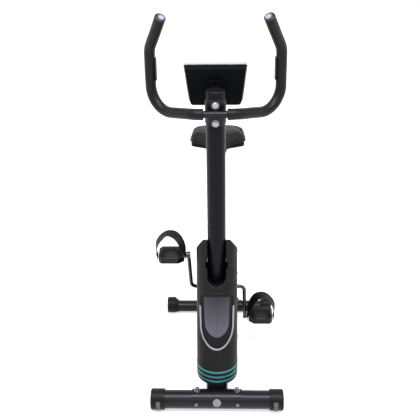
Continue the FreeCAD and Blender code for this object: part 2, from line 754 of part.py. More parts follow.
def belt_wire(inset):
    """Outline of the belt round both pulleys, inset from its outer face."""
    big = PULLEY_D / 2 - 0.3 - inset
    small = SMALL_PULLEY_D / 2 - 0.3 - inset
    span = CRANK_CENTRE - FLY_CENTRE
    distance = span.Length
    along = span * (1.0 / distance)
    square = V(0, -along.z, along.y)
    lean = (big - small) / distance
    spread = math.sqrt(1.0 - lean * lean)
    top = along * (-lean) + square * spread
    low = along * (-lean) - square * spread
    shift = X_AXIS * (PULLEY_X - BELT_W / 2)
    fly = FLY_CENTRE + shift
    main = CRANK_CENTRE + shift
    edges = [
        Part.LineSegment(fly + top * small, main + top * big).toShape(),
        Part.Arc(main + top * big, main + along * big, main + low * big).toShape(),
        Part.LineSegment(main + low * big, fly + low * small).toShape(),
        Part.Arc(fly + low * small, fly - along * small, fly + top * small).toShape(),
    ]
    return Part.Wire(edges)


def drive_belt():
    depth = X_AXIS * BELT_W
    outer = Part.Face(belt_wire(0.0)).extrude(depth)
    inner = Part.Face(belt_wire(BELT_T - 0.6)).extrude(depth)
    return outer.cut(inner)


def flywheel_axle():
    """Fixed axle with a nut at each plate."""
    left = V(FLY_PLATE_LEFT_X - 12.0, FLY_CENTRE.y, FLY_CENTRE.z)
    right = V(FLY_PLATE_RIGHT_X + FLY_PLATE_T + 6.0, FLY_CENTRE.y, FLY_CENTRE.z)
    nut = 5.0
    wheel_left = V(-FLYWHEEL_T / 2 - 0.5, FLY_CENTRE.y, FLY_CENTRE.z)
    wheel_right = V(PULLEY_X + BELT_W / 2 + 2.0, FLY_CENTRE.y, FLY_CENTRE.z)
    nut_left = V(FLY_PLATE_LEFT_X, FLY_CENTRE.y, FLY_CENTRE.z)
    nut_right = V(FLY_PLATE_RIGHT_X + FLY_PLATE_T, FLY_CENTRE.y, FLY_CENTRE.z)
    return fuse([
        cylinder(FLY_AXLE_D / 2, left, right),
        cylinder(FLY_AXLE_D - 2.0, nut_left - X_AXIS * nut, nut_left),
        cylinder(FLY_AXLE_D - 2.0, nut_right, nut_right + X_AXIS * nut),
        cylinder(FLY_AXLE_D * 0.75, nut_left + X_AXIS * FLY_PLATE_T, wheel_left),
        cylinder(FLY_AXLE_D * 0.75, wheel_right, nut_right - X_AXIS * FLY_PLATE_T),
    ])


def flywheel_bracket():
    """U-shaped hanger on the spine; its two plates hold the axle."""
    half_y = 26.0
    base_low = V(FLY_PLATE_LEFT_X, FLY_Y - half_y, SPINE_TOP)
    base_high = V(FLY_PLATE_RIGHT_X + FLY_PLATE_T, FLY_Y + half_y, SPINE_TOP + FLY_PLATE_T)
    plates = [box(base_low, base_high)]
    for x in (FLY_PLATE_LEFT_X, FLY_PLATE_RIGHT_X):
        low = V(x, FLY_Y - half_y, SPINE_TOP)
        high = V(x + FLY_PLATE_T, FLY_Y + half_y, FLYWHEEL_HEIGHT)
        plates.append(box(low, high))
        hub = V(x, FLY_Y, FLYWHEEL_HEIGHT)
        plates.append(cylinder(half_y, hub, hub + X_AXIS * FLY_PLATE_T))
    body = fuse(plates)
    across = X_AXIS * 200.0
    return body.cut(cylinder(FLY_AXLE_D / 2, FLY_CENTRE - across, FLY_CENTRE + across))


# ================================================================ brake
def brake_arm_local(angle_low, angle_high, radius_low, radius_high, x_low, x_high):
    """Sector round the flywheel's axis; angles are measured up from +Y."""
    steps = 6
    outer = []
    inner = []
    for index in range(steps + 1):
        share = index / steps
        angle = math.radians(angle_low + (angle_high - angle_low) * share)
        ray = V(0, math.cos(angle), math.sin(angle))
        base = V(x_low, FLY_CENTRE.y, FLY_CENTRE.z)
        outer.append(base + ray * radius_high)
        inner.append(base + ray * radius_low)
    loop = outer + inner[::-1] + outer[:1]
    return Part.Face(Part.makePolygon(loop)).extrude(V(x_high - x_low, 0, 0))


def magnet_bracket():
    """Yoke over the rim that carries the magnets and swings on its pin."""
    rim = FLYWHEEL_D / 2
    inner_x = FLYWHEEL_T / 2 + MAGNET_GAP + MAGNET_T
    outer_x = inner_x + ARM_PLATE_T
    plates = []
    for side in (-1, 1):
        low = min(side * inner_x, side * outer_x)
        high = max(side * inner_x, side * outer_x)
        plates.append(brake_arm_local(16.0, 56.0, rim - 26.0, rim + 9.0, low, high))
        pivot = brake_pivot()
        hub = V(low, pivot.y, pivot.z)
        plates.append(cylinder(9.0, hub, hub + X_AXIS * (high - low)))
        arm = [V(low, pivot.y - 8.0, pivot.z), V(low, pivot.y + 8.0, pivot.z + 4.0),
               FLY_CENTRE + V(low, (rim + 7.0) * 0.72, (rim + 7.0) * 0.69),
               FLY_CENTRE + V(low, (rim - 20.0) * 0.60, (rim - 20.0) * 0.80)]
        plates.append(Part.Face(Part.makePolygon(arm + arm[:1])).extrude(X_AXIS * (high - low)))
    plates.append(brake_arm_local(16.0, 40.0, rim + 6.0, rim + 9.0, -outer_x, outer_x))
    body = fuse(plates)
    pivot = brake_pivot()
    reach = X_AXIS * (outer_x + 3.0)
    return body.fuse(cylinder(BRAKE_PIN_D / 2 - RUN, pivot - reach, pivot + reach)).removeSplitter()


def brake_magnets():
    """Three round magnets on each side of the rim."""
    discs = []
    inner_x = FLYWHEEL_T / 2 + MAGNET_GAP
    for side in (-1, 1):
        for angle_deg in (21.0, 36.0, 51.0):
            angle = math.radians(angle_deg)
            ray = V(0, math.cos(angle), math.sin(angle))
            near = FLY_CENTRE + ray * (FLYWHEEL_D / 2 - 13.0) + X_AXIS * (side * inner_x)
            discs.append(cylinder(MAGNET_D / 2 - 0.5, near, near + X_AXIS * (side * MAGNET_T)))
    return Part.makeCompound(discs)


def brake_spring():
    """Torsion spring, wound round the yoke's pin."""
    pivot = brake_pivot()
    start = pivot + X_AXIS * BRAKE_LUG_HALF
    return tube(start, start + X_AXIS * 9.0, 13.0, BRAKE_PIN_D + 2 * SLIP)


def tension_cable():
    """Cable that runs down inside the post to the yoke."""
    top = post_point(KNOB_Z - KNOB_STEM_D / 2 - SOFT)
    bottom = post_point(BEAM_TOP - BEAM_H + 1.0)
    return cylinder(2.5, bottom, top)


def tension_knob():
    """Resistance knob on the rider's side of the post, with its stem."""
    centre = post_point(KNOB_Z)
    back = POST_FORWARD * -1.0
    face = centre + back * (POST_D / 2 + 2.0)
    body = cylinder(KNOB_D / 2, face, face + back * KNOB_H)
    crown = [edge for edge in body.Edges if edge.Curve.TypeId == "Part::GeomCircle"]
    outer = max(crown, key=lambda edge: edge.CenterOfMass.y)
    body = body.makeFillet(5.0, [outer])
    for index in range(10):
        angle = math.radians(36.0 * index)
        rim = X_AXIS * math.cos(angle) + POST_DIR * math.sin(angle)
        spot = face + rim * (KNOB_D / 2 + 3.0)
        body = body.cut(cylinder(6.0, spot + back * 3.0, spot + back * (KNOB_H + 1.0)))
    stem_start = centre
    stem = cylinder(KNOB_STEM_D / 2, stem_start, face + back * 1.0)
    return fuse([body, stem])


# ================================================================ pedals
def pedal_local():
    """Pedal with its spindle bore along X; top faces +Z."""
    half_d = PEDAL_DEPTH / 2
    half_t = PEDAL_THICK / 2
    length = PEDAL_OUT_X - PEDAL_IN_X
    outline = [V(PEDAL_IN_X, -half_d * 0.62, -half_t), V(PEDAL_IN_X + length * 0.22, -half_d, -half_t),
               V(PEDAL_OUT_X - 10.0, -half_d, -half_t), V(PEDAL_OUT_X, -half_d * 0.7, -half_t),
               V(PEDAL_OUT_X, half_d * 0.7, -half_t), V(PEDAL_OUT_X - 10.0, half_d, -half_t),
               V(PEDAL_IN_X + length * 0.22, half_d, -half_t), V(PEDAL_IN_X, half_d * 0.62, -half_t)]
    body = slab(outline, [6.0] * 8, V(0, 0, PEDAL_THICK))
    bars = 4
    pitch = (length - 26.0) / bars
    for row in (-1, 1):
        for index in range(bars):
            x = PEDAL_IN_X + 16.0 + pitch * index
            y_mid = row * half_d * 0.56
            low = V(x, y_mid - half_d * 0.22, -half_t - 1.0)
            high = V(x + pitch - 6.0, y_mid + half_d * 0.22, half_t + 1.0)
            body = body.cut(box(low, high))
    weight = [V(PEDAL_IN_X + 18.0, -13.0, -half_t - 12.0), V(PEDAL_OUT_X - 16.0, -13.0, -half_t - 12.0),
              V(PEDAL_OUT_X - 16.0, 13.0, -half_t - 12.0), V(PEDAL_IN_X + 18.0, 13.0, -half_t - 12.0)]
    body = fuse([body, slab(weight, [5.0] * 4, V(0, 0, 13.0))])
    bore_end = PEDAL_OUT_X - 12.0
    return body.cut(cylinder(SPINDLE_D / 2 + RUN, V(PEDAL_IN_X - 1.0, 0, 0), V(bore_end, 0, 0)))


def strap_local():
    """Foot strap: an arch from the inner to the outer edge of the pedal."""
    low = -PEDAL_THICK / 2 + 4.0
    inner_x = PEDAL_IN_X - STRAP_T - SOFT
    outer_x = PEDAL_OUT_X + STRAP_BULGE
    foot_x = PEDAL_OUT_X + SOFT

    def outline(inset):
        left = inner_x + inset
        right = outer_x - inset
        top = STRAP_RISE - inset
        middle = (left + right) / 2
        span = (right - left) / 2
        points = [V(left, 0, low), V(left, 0, 20.0)]
        spring = [V(left, 0, 20.0), V(middle - span * 0.72, 0, top * 0.8), V(middle, 0, top)]
        crest = [V(middle, 0, top), V(middle + span * 0.74, 0, top * 0.78), V(right, 0, 26.0)]
        foot = V(foot_x + STRAP_T - inset, 0, low)
        edges = [
            Part.LineSegment(points[0], points[1]).toShape(),
            Part.Arc(*spring).toShape(),
            Part.Arc(*crest).toShape(),
            Part.LineSegment(crest[2], foot).toShape(),
            Part.LineSegment(foot, points[0]).toShape(),
        ]
        return Part.Face(Part.Wire(edges))

    depth = V(0, STRAP_W, 0)
    band = outline(0.0).extrude(depth).cut(outline(STRAP_T).extrude(depth))
    open_floor = box(V(PEDAL_IN_X - SOFT, -1.0, low - 1.0), V(foot_x, STRAP_W + 1.0, low + STRAP_T + 1.0))
    band = band.cut(open_floor)
    band = band.translated(V(0, -STRAP_W / 2 - STRAP_FORWARD, 0))
    return largest(band)


def pedal_pose(side):
    tilt = PEDAL_TILT_LEFT if side < 0 else PEDAL_TILT_RIGHT
    return arm_end(side), tilt


def on_pedal(shape, side):
    """Put a shape built for the right pedal on its arm."""
    if side < 0:
        shape = mirror_x(shape)
    centre, tilt = pedal_pose(side)
    return placed(shape, centre, tilt)


def pedal_spindles():
    pins = []
    for side in (-1, 1):
        end = arm_end(side)
        start = end + X_AXIS * (side * (CRANK_ARM_X + CRANK_FLARE - CRANK_EYE_T / 2))
        tip = end + X_AXIS * (side * (PEDAL_OUT_X - 13.0))
        collar = end + X_AXIS * (side * (CRANK_ARM_X + CRANK_FLARE + CRANK_EYE_T / 2))
        collar_end = collar + X_AXIS * (side * 4.0)
        pins.append(fuse([cylinder(SPINDLE_D / 2, start, tip), cylinder(SPINDLE_D / 2 + 3.0, collar, collar_end)]))
    return Part.makeCompound(pins)


# ================================================================ front post
def post_radius_in():
    return POST_D / 2 - POST_WALL


def handlebar_post():
    body = mast_solid(POST_D / 2, POST_BOTTOM, POST_TOP)
    body = body.cut(mast_solid(post_radius_in(), POST_BOTTOM, POST_TOP))
    bolt = post_point(POST_BOLT_Z)
    body = body.cut(cylinder(BOLT_D / 2 + SLIP, bolt - X_AXIS * POST_D, bolt + X_AXIS * POST_D))
    knob = post_point(KNOB_Z)
    body = body.cut(cylinder(KNOB_STEM_D / 2 + RUN, knob, knob - POST_FORWARD * POST_D))
    for height in (BAR_BOLT_HIGH, BAR_BOLT_LOW):
        spot = post_point(height)
        body = body.cut(cylinder(BOLT_D / 2 + SLIP, spot, spot + POST_FORWARD * POST_D))
    return fuse([body, console_bracket()])


def post_cap():
    """Plug that closes the top of the post."""
    top = post_point(POST_TOP)
    body = cylinder(POST_D / 2, top, top + POST_DIR * 7.0)
    ring = max(body.Edges, key=lambda edge: edge.CenterOfMass.z)
    body = body.makeFillet(4.0, [ring])
    skirt = tube(top - POST_DIR * 14.0, top, 2 * post_radius_in() - 2 * SLIP, 2 * post_radius_in() - 6.0)
    return fuse([body, skirt])


def bar_centre():
    """Middle of the bare bar, in front of its bracket plate."""
    level = post_point(BAR_Z)
    return level + POST_FORWARD * (POST_D / 2 + BAR_PLATE_GAP + BAR_D / 2 - BAR_SINK)


def bar_points(side):
    centre = bar_centre()
    points = [centre, centre + X_AXIS * (side * BAR_STRAIGHT_X)]
    for offset in (BAR_CORNER, BAR_ELBOW, BAR_TIP):
        points.append(centre + V(side * offset[0], offset[1], offset[2]))
    return points


def bar_path(side, start_x):
    points = bar_points(side)
    points[0] = points[0] + X_AXIS * (side * start_x)
    return rounded_path(points, BAR_BENDS)


def handlebar_tube():
    halves = [pipe(bar_path(side, 0.0), BAR_D / 2) for side in (-1, 1)]
    return fuse(halves)


def grip(side):
    """Foam sleeve from beside the bracket to the tip of the bar."""
    points = bar_points(side)
    start_shift = min(GRIP_START_X, BAR_STRAIGHT_X - BAR_BENDS[0] * 0.376 - 0.5)
    outer = pipe(bar_path(side, start_shift), GRIP_D / 2)
    inner_path = bar_path(side, 0.0)
    inner = pipe(inner_path, BAR_D / 2 + SLIP)
    return largest(outer.cut(inner))


def tip_direction(side):
    points = bar_points(side)
    return (points[-1] - points[-2]).normalize()


def grip_plugs():
    plugs = []
    for side in (-1, 1):
        tip = bar_points(side)[-1]
        heading = tip_direction(side)
        disc = cylinder(GRIP_D / 2, tip, tip + heading * PLUG_T)
        ring = max(disc.Edges, key=lambda edge: (edge.CenterOfMass - tip).dot(heading))
        plugs.append(disc.makeFillet(PLUG_T * 0.6, [ring]))
    return Part.makeCompound(plugs)


def pulse_sensors():
    """Sensor shells on the inner rear side of each grip's upright part."""
    sleeves = []
    for side in (-1, 1):
        points = bar_points(side)
        corner, elbow = points[2], points[3]
        heading = (elbow - corner).normalize()
        start = corner + heading * ((elbow - corner).Length * SENSOR_LOW)
        end = start + heading * SENSOR_LENGTH
        turn = math.radians(SENSOR_TURN)
        facing = V(-side * math.sin(turn), math.cos(turn), 0)
        facing = (facing - heading * facing.dot(heading)).normalize()
        across = heading.cross(facing) * SENSOR_D
        beyond = heading * SENSOR_D
        corners = [start - beyond - across, start - beyond + across, end + beyond + across, end + beyond - across]
        front = Part.Face(Part.makePolygon(corners + corners[:1])).extrude(facing * -SENSOR_D)
        shell = tube(start, end, SENSOR_D, GRIP_D + 2 * SLIP).cut(front)
        sleeves.append(shell)
    return Part.makeCompound(sleeves)


def handlebar_bracket():
    """Curved plate that holds the bar against the front of the post."""
    outer_r = POST_D / 2 + BAR_PLATE_GAP
    ring = mast_solid(outer_r, BRACKET_BOTTOM, BRACKET_TOP)
    ring = ring.cut(mast_solid(POST_D / 2 + SLIP, BRACKET_BOTTOM - 1.0, BRACKET_TOP + 1.0))
    mid = post_point((BRACKET_BOTTOM + BRACKET_TOP) / 2)
    half_w = BRACKET_W / 2 + 2.0
    half_h = (BRACKET_TOP - BRACKET_BOTTOM) / 2
    corners = [V(-half_w, -POST_D, -half_h), V(half_w, -POST_D, -half_h),
               V(half_w, -POST_D, half_h), V(-half_w, -POST_D, half_h)]
    keep = slab(corners, [BRACKET_CORNER_R] * 4, V(0, POST_D - 4.0, 0))
    keep = placed(keep, mid, -POST_LEAN)
    body = ring.common(keep)
    for height in (BAR_BOLT_HIGH, BAR_BOLT_LOW):
        spot = post_point(height)
        body = body.cut(cylinder(BOLT_D / 2 + SLIP, spot, spot + POST_FORWARD * POST_D))
    centre = bar_centre()
    reach = X_AXIS * POST_D
    return largest(body.cut(cylinder(BAR_D / 2, centre - reach, centre + reach)))


# ================================================================ fasteners
def dome(centre, direction, diameter, height):
    """Round bolt head with a softened crown."""
    disc = cylinder(diameter / 2, centre, centre + direction * height)
    ring = max(disc.Edges, key=lambda edge: (edge.CenterOfMass - centre).dot(direction))
    return disc.makeFillet(min(height * 0.7, diameter * 0.35), [ring])


def bolt(seat, direction, grip_length):
    """Headed bolt; the head's underside is on the seat, the shank goes the other way."""
    head = dome(seat, direction, BOLT_HEAD_D, BOLT_HEAD_H)
    shank = cylinder(BOLT_D / 2, seat - direction * grip_length, seat)
    return fuse([head, shank])


def saddle_bolt_axis(centre, tube_d):
    low = centre - Z_AXIS * (tube_d / 2)
    high = centre + Z_AXIS * (tube_d / 2 + SADDLE_THICK)
    return low, high


def hex_bolts():
    """Bolts of the saddles, of the bar bracket and of the post's foot."""
    bolts = []
    for centre, tube_d in bolt_positions():
        low, high = saddle_bolt_axis(centre, tube_d)
        bolts.append(cylinder(BOLT_D / 2, low + Z_AXIS * 1.0, high + Z_AXIS * (WASHER_T + 5.0)))
    for height in (BAR_BOLT_HIGH, BAR_BOLT_LOW):
        seat = post_point(height) + POST_FORWARD * (POST_D / 2 + BAR_PLATE_GAP + WASHER_T)
        bolts.append(bolt(seat, POST_FORWARD, 22.0))
    for side in (-1, 1):
        seat = post_point(POST_BOLT_Z) + X_AXIS * (side * (POST_D / 2 + 0.2))
        bolts.append(bolt(seat, X_AXIS * side, 12.0))
    return Part.makeCompound(bolts)


def curved_washers():
    rings = []
    for centre, tube_d in bolt_positions():
        high = saddle_bolt_axis(centre, tube_d)[1]
        rings.append(tube(high, high + Z_AXIS * WASHER_T, WASHER_D, BOLT_D + 2 * SLIP))
    for height in (BAR_BOLT_HIGH, BAR_BOLT_LOW):
        seat = post_point(height) + POST_FORWARD * (POST_D / 2 + BAR_PLATE_GAP)
        rings.append(tube(seat, seat + POST_FORWARD * WASHER_T, WASHER_D, BOLT_D + 2 * SLIP))
    return Part.makeCompound(rings)


def dome_nuts():
    nuts = []
    for centre, tube_d in bolt_positions():
        high = saddle_bolt_axis(centre, tube_d)[1] + Z_AXIS * WASHER_T
        nut = dome(high, Z_AXIS, NUT_D, NUT_H)
        nuts.append(nut.cut(cylinder(BOLT_D / 2 + SLIP, high, high + Z_AXIS * 6.0)))
    return Part.makeCompound(nuts)


# ================================================================ console
def console_origin():
    """Middle of the console's back face, just behind the post."""
    level = post_point(CONSOLE_MID_Z)
    return V(0, level.y + POST_D / 2 + 3.0, CONSOLE_MID_Z)


def console_point(across, up, out):
    return console_origin() + X_AXIS * across + CONSOLE_AXIS * up + CONSOLE_OUT * out


def console_outline(inset, out):
    half_top = CONSOLE_TOP_W / 2 - inset
    half_low = CONSOLE_BOTTOM_W / 2 - inset
    half_h = CONSOLE_HEIGHT / 2 - inset
    points = [console_point(-half_low, -half_h, out), console_point(half_low, -half_h, out),
              console_point(half_top, half_h, out), console_point(-half_top, half_h, out)]
    big = CONSOLE_CORNER_R - inset
    small = 6.0 - min(inset, 3.0)
    return rounded_loop(points, [big, big, small, small])


def console_slab(inset, low, high):
    return Part.Face(console_outline(inset, low)).extrude(CONSOLE_OUT * (high - low))


def console_loft(inset_back, inset_front, low, high):
    wires = [console_outline(inset_back, low), console_outline(inset_front, high)]
    return Part.makeLoft(wires, True, True)


def console_back():
    """Rear shell, open towards the display."""
    depth = CONSOLE_DEPTH - BEZEL_T
    body = console_loft(SHELL_TAPER, SHELL_STEP, 0.0, depth)
    cavity = console_loft(SHELL_TAPER + CONSOLE_WALL, SHELL_STEP + CONSOLE_WALL, CONSOLE_WALL, depth + 0.01)
    return body.cut(cavity)


def lens_slab(margin, low, high):
    half_w = LENS_W / 2 + margin
    half_h = LENS_H / 2 + margin
    points = [console_point(-half_w, LENS_UP - half_h, low), console_point(half_w, LENS_UP - half_h, low),
              console_point(half_w, LENS_UP + half_h, low), console_point(-half_w, LENS_UP + half_h, low)]
    return slab(points, [5.0] * 4, CONSOLE_OUT * (high - low))


def button_centre(index):
    return console_point((index - 1) * BUTTON_SPACING, -BUTTON_DOWN, 0.0)


def console_bezel():
    """Front frame with the display window and three button holes."""
    low = CONSOLE_DEPTH - BEZEL_T
    body = console_slab(0.0, low, CONSOLE_DEPTH)
    body = body.cut(console_slab(CONSOLE_WALL + 2.0, low - 1.0, CONSOLE_DEPTH - BEZEL_LIP))
    body = body.cut(lens_slab(-2.0, low - 1.0, CONSOLE_DEPTH + 1.0))
    body = body.cut(lens_slab(SLIP, CONSOLE_DEPTH - 1.5, CONSOLE_DEPTH + 1.0))
    for index in range(3):
        centre = button_centre(index)
        hole = cylinder(BUTTON_D / 2 + SOFT, centre + CONSOLE_OUT * low, centre + CONSOLE_OUT * (CONSOLE_DEPTH + 1.0))
        body = body.cut(hole)
    return body


def console_lens():
    return lens_slab(0.0, CONSOLE_DEPTH - 1.5, CONSOLE_DEPTH - 0.3)


def console_button(index):
    """Round key with a flange that keeps it behind the bezel."""
    centre = button_centre(index)
    top = centre + CONSOLE_OUT * (CONSOLE_DEPTH + BUTTON_PROUD)
    back = centre + CONSOLE_OUT * (CONSOLE_DEPTH - BEZEL_T - 4.0)
    body = cylinder(BUTTON_D / 2, back, top)
    ring = max(body.Edges, key=lambda edge: (edge.CenterOfMass - back).dot(CONSOLE_OUT))
    body = body.makeFillet(1.2, [ring])
    stop = centre + CONSOLE_OUT * (CONSOLE_DEPTH - BEZEL_LIP - SLIP)
    return fuse([body, cylinder(BUTTON_D / 2 + 1.5, stop - CONSOLE_OUT * 1.5, stop)])


def console_board():
    """Circuit board that the buttons press, carried on the rear shell's posts."""
    low = CONSOLE_DEPTH - BEZEL_T - 4.0 - BUTTON_TRAVEL - 0.5 - 1.6
    board = console_slab(16.0, low, low + 1.6)
    posts = []
    for across in (-58.0, 58.0):
        for up in (-44.0, 44.0):
            base = console_point(across, up, CONSOLE_WALL)
            posts.append(cylinder(4.0, base, console_point(across, up, low)))
    return fuse([board] + posts)


def console_bracket():
    """Tongue welded to the post's head that the console screws to."""
    seat_high = 26.0
    seat_low = -30.0
    half_w = 22.0
    plate = 3.0
    corners = [console_point(-half_w, seat_low, -plate), console_point(half_w, seat_low, -plate),
               console_point(half_w, seat_high, -plate), console_point(-half_w, seat_high, -plate)]
    body = slab(corners, [4.0] * 4, CONSOLE_OUT * plate)
    for side in (-1, 1):
        low = console_point(side * 16.0, seat_low, 0.0)
        wing = box(V(low.x - 1.5, post_point(CONSOLE_MID_Z).y, low.z),
                   V(low.x + 1.5, low.y + 8.0, POST_TOP - 4.0))
        body = body.fuse(wing)
    body = body.cut(mast_solid(POST_D / 2, POST_BOTTOM, POST_TOP + 20.0))
    body = body.cut(console_slab(-6.0, 0.0, CONSOLE_DEPTH))
    return largest(body.removeSplitter())


# ================================================================ seat
def knob_point():
    return SEAT_TOP - SEAT_DIR * SEAT_KNOB_DOWN


def seat_post():
    """Sliding post with its row of holes and the welded top plate."""
    top = SEAT_TOP + SEAT_DIR * SEAT_POST_OUT
    bottom = top - SEAT_DIR * SEAT_POST_LENGTH
    body = tube(bottom, top, SEAT_POST_D, SEAT_POST_D - 2 * SEAT_POST_WALL)
    pin = knob_point()
    slot_top = pin + SEAT_DIR * SEAT_TRAVEL_DOWN
    slot_low = pin - SEAT_DIR * SEAT_TRAVEL_UP
    slot_half = SEAT_SLOT_W / 2
    depth = SEAT_BACK * SEAT_POST_D
    corners = [slot_low - X_AXIS * slot_half - SEAT_DIR * slot_half,
               slot_low + X_AXIS * slot_half - SEAT_DIR * slot_half,
               slot_top + X_AXIS * slot_half + SEAT_DIR * slot_half,
               slot_top - X_AXIS * slot_half + SEAT_DIR * slot_half]
    body = body.cut(slab(corners, [slot_half - 0.05] * 4, depth))
    count = int((SEAT_TRAVEL_UP + SEAT_TRAVEL_DOWN) / SEAT_HOLE_PITCH) + 1
    for index in range(count):
        spot = slot_low + SEAT_DIR * (index * SEAT_HOLE_PITCH)
        body = body.cut(cylinder(SEAT_HOLE_D / 2, spot, spot + depth))
    half = SEAT_PLATE / 2
    plate_low = V(-half, top.y - half, seat_plate_z() - SEAT_PLATE_T)
    plate = box(plate_low, V(half, top.y + half, seat_plate_z()))
    stub = cylinder(SEAT_POST_D / 2, top - SEAT_DIR * 2.0, top + SEAT_DIR * 40.0)
    stub = stub.common(box(plate_low - V(0, 0, 60.0), V(half, top.y + half, seat_plate_z())))
    return fuse([body, plate, stub])


def seat_plate_z():
    top = SEAT_TOP + SEAT_DIR * SEAT_POST_OUT
    return top.z + 14.0


def seat_centre_y():
    top = SEAT_TOP + SEAT_DIR * SEAT_POST_OUT
    return top.y - SEAT_AHEAD


def seat_outline(inset, z):
    """Plan of the seat: broad rounded rear, narrow rounded nose."""
    y = seat_centre_y()
    rear = y + SEAT_LENGTH / 2 - inset
    nose = y - SEAT_LENGTH / 2 + inset
    half_w = SEAT_WIDTH / 2 - inset
    nose_w = SEAT_NOSE_W / 2 - inset
    points = [V(-nose_w, nose, z), V(nose_w, nose, z), V(nose_w * 1.12, nose + SEAT_LENGTH * SEAT_NOSE_SHARE, z),
              V(half_w, rear - SEAT_LENGTH * SEAT_BROAD, z), V(half_w, rear, z), V(-half_w, rear, z),
              V(-half_w, rear - SEAT_LENGTH * SEAT_BROAD, z), V(-nose_w * 1.12, nose + SEAT_LENGTH * SEAT_NOSE_SHARE, z)]
    corner = nose_w * 0.9
    return rounded_loop(points, [corner, corner, 40.0, 30.0, 48.0, 48.0, 30.0, 40.0])


def seat_base():
    """Moulded pan under the cushion."""
    z = seat_plate_z()
    return Part.Face(seat_outline(3.0, z)).extrude(V(0, 0, SEAT_BASE_T))


def seat_cushion():
    """Plain solid of the padded seat, with softened edges."""
    z = seat_plate_z() + SEAT_BASE_T
    body = Part.Face(seat_outline(0.0, z)).extrude(V(0, 0, SEAT_THICK))
    rim = [edge for edge in body.Edges if edge.BoundBox.ZMin > z + SEAT_THICK - 0.01]
    return body.makeFillet(SEAT_ROUND, rim)


def seat_bushing():
    """Plastic sleeve in the mouth of the seat tube."""
    bore = SEAT_POST_D + 2 * SOFT
    inner_d = SEAT_TUBE_D - 2 * TUBE_WALL - 2 * SLIP
    skirt = tube(SEAT_TOP - SEAT_DIR * 60.0, SEAT_TOP, inner_d, bore)
    flange = tube(SEAT_TOP, SEAT_TOP + SEAT_DIR * 6.0, SEAT_TUBE_D + 4.0, bore)
    body = fuse([skirt, flange])
    pin = knob_point()
    return body.cut(cylinder(PIN_D / 2 + 2.0 + SLIP, pin, pin + SEAT_BACK * SEAT_TUBE_D))


def seat_knob():
    """Pull knob with the pin that locks the seat post."""
    base = knob_point()
    collar = base + SEAT_BACK * (SEAT_TUBE_D / 2 + 14.0)
    end = collar + SEAT_BACK * SEAT_KNOB_H
    grip_body = cylinder(SEAT_KNOB_D / 2, collar, end)
    for index in range(6):
        angle = math.radians(60.0 * index)
        rim = X_AXIS * math.cos(angle) + SEAT_DIR * math.sin(angle)
        spot = rim * (SEAT_KNOB_D / 2 + 4.0)
        flute = cylinder(8.0, collar + spot - SEAT_BACK, end + spot + SEAT_BACK)
        grip_body = grip_body.cut(flute)
    outer = max(grip_body.Faces, key=lambda face: (face.CenterOfMass - collar).dot(SEAT_BACK))
    grip_body = grip_body.makeChamfer(2.0, outer.Edges)
    pin_tip = base + SEAT_BACK * (SEAT_POST_D / 2 - SEAT_POST_WALL - 2.0)
    return grip_body.fuse(cylinder(PIN_D / 2, pin_tip, collar))


def pin_sleeve():
    """Threaded boss welded on the seat tube for the pull knob."""
    base = knob_point()
    end = base + SEAT_BACK * (SEAT_TUBE_D / 2 + 13.0)
    body = tube(base, end, PIN_D + 12.0, PIN_D + 2 * RUN)
    return body.cut(cylinder(SEAT_TUBE_D / 2, SEAT_TOP - SEAT_DIR * 200.0, SEAT_TOP + SEAT_DIR * 10.0))


# ================================================================ shroud
SHROUD_SIDE = ((-60.0, SHROUD_BOTTOM), (-60.0, SHROUD_TOP), (SHROUD_RIDGE_BACK, SHROUD_TOP),
               (SHROUD_REAR_BACK, SHROUD_REAR_TOP), (502.0, 400.0), (486.0, 250.0), (430.0, 150.0),
               (330.0, SHROUD_BOTTOM))
SHROUD_RADII = (0.0, 0.0, 60.0, 40.0, 40.0, 90.0, 60.0, 60.0)
SHROUD_SLOPE = V(0, SHROUD_REAR_BACK - SHROUD_RIDGE_BACK, SHROUD_REAR_TOP - SHROUD_TOP).normalize()


def shroud_side(inset):
    """Side form of the shroud, pulled in by a wall, with softened long edges."""
    wire = rounded_loop(side_points(SHROUD_SIDE), SHROUD_RADII)
    if inset > 0:
        wire = wire.makeOffset2D(-inset)
    half = SHROUD_HALF_W + 6.0 - inset
    face = Part.Face(wire)
    face.translate(V(-half, 0, 0))
    return face.extrude(V(2 * half, 0, 0))


def nose_back(height):
    """Front of the shroud at a height, behind the front foot."""
    points = ((0.0, SHROUD_NOSE), (SHROUD_BEND_Z, SHROUD_NOSE), (SHROUD_RIM_Z, SHROUD_RIM_Y),
              (SHROUD_TOP, SHROUD_TOP_Y), (2 * SHROUD_TOP, SHROUD_TOP_Y))
    for low, high in zip(points, points[1:]):
        if height <= high[0]:
            share = (height - low[0]) / (high[0] - low[0])
            return low[1] + (high[1] - low[1]) * share
    return SHROUD_TOP_Y


def half_ellipse(centre, side, tip):
    """Half an ellipse from centre - side through centre + tip to centre + side."""
    if tip.Length >= side.Length:
        return Part.Ellipse(centre + tip, centre + side, centre).toShape(-math.pi / 2, math.pi / 2)
    return Part.Ellipse(centre + side, centre + tip, centre).toShape(0, math.pi)


def plan_wire(height, inset):
    """Level section: half-elliptical nose, flat sides and a square back."""
    shoulder = FRONT_Y + nose_back(height) + SHROUD_NOSE_DEPTH
    half = SHROUD_HALF_W - inset
    depth = SHROUD_NOSE_DEPTH - inset
    back = REAR_Y + 50.0
    centre = V(0, shoulder, height)
    left = V(-half, shoulder, height)
    right = V(half, shoulder, height)
    edges = [
        half_ellipse(centre, X_AXIS * half, Y_AXIS * -depth),
        Part.LineSegment(right, V(half, back, height)).toShape(),
        Part.LineSegment(V(half, back, height), V(-half, back, height)).toShape(),
        Part.LineSegment(V(-half, back, height), left).toShape(),
    ]
    return Part.Wire(Part.__sortEdges__(edges))


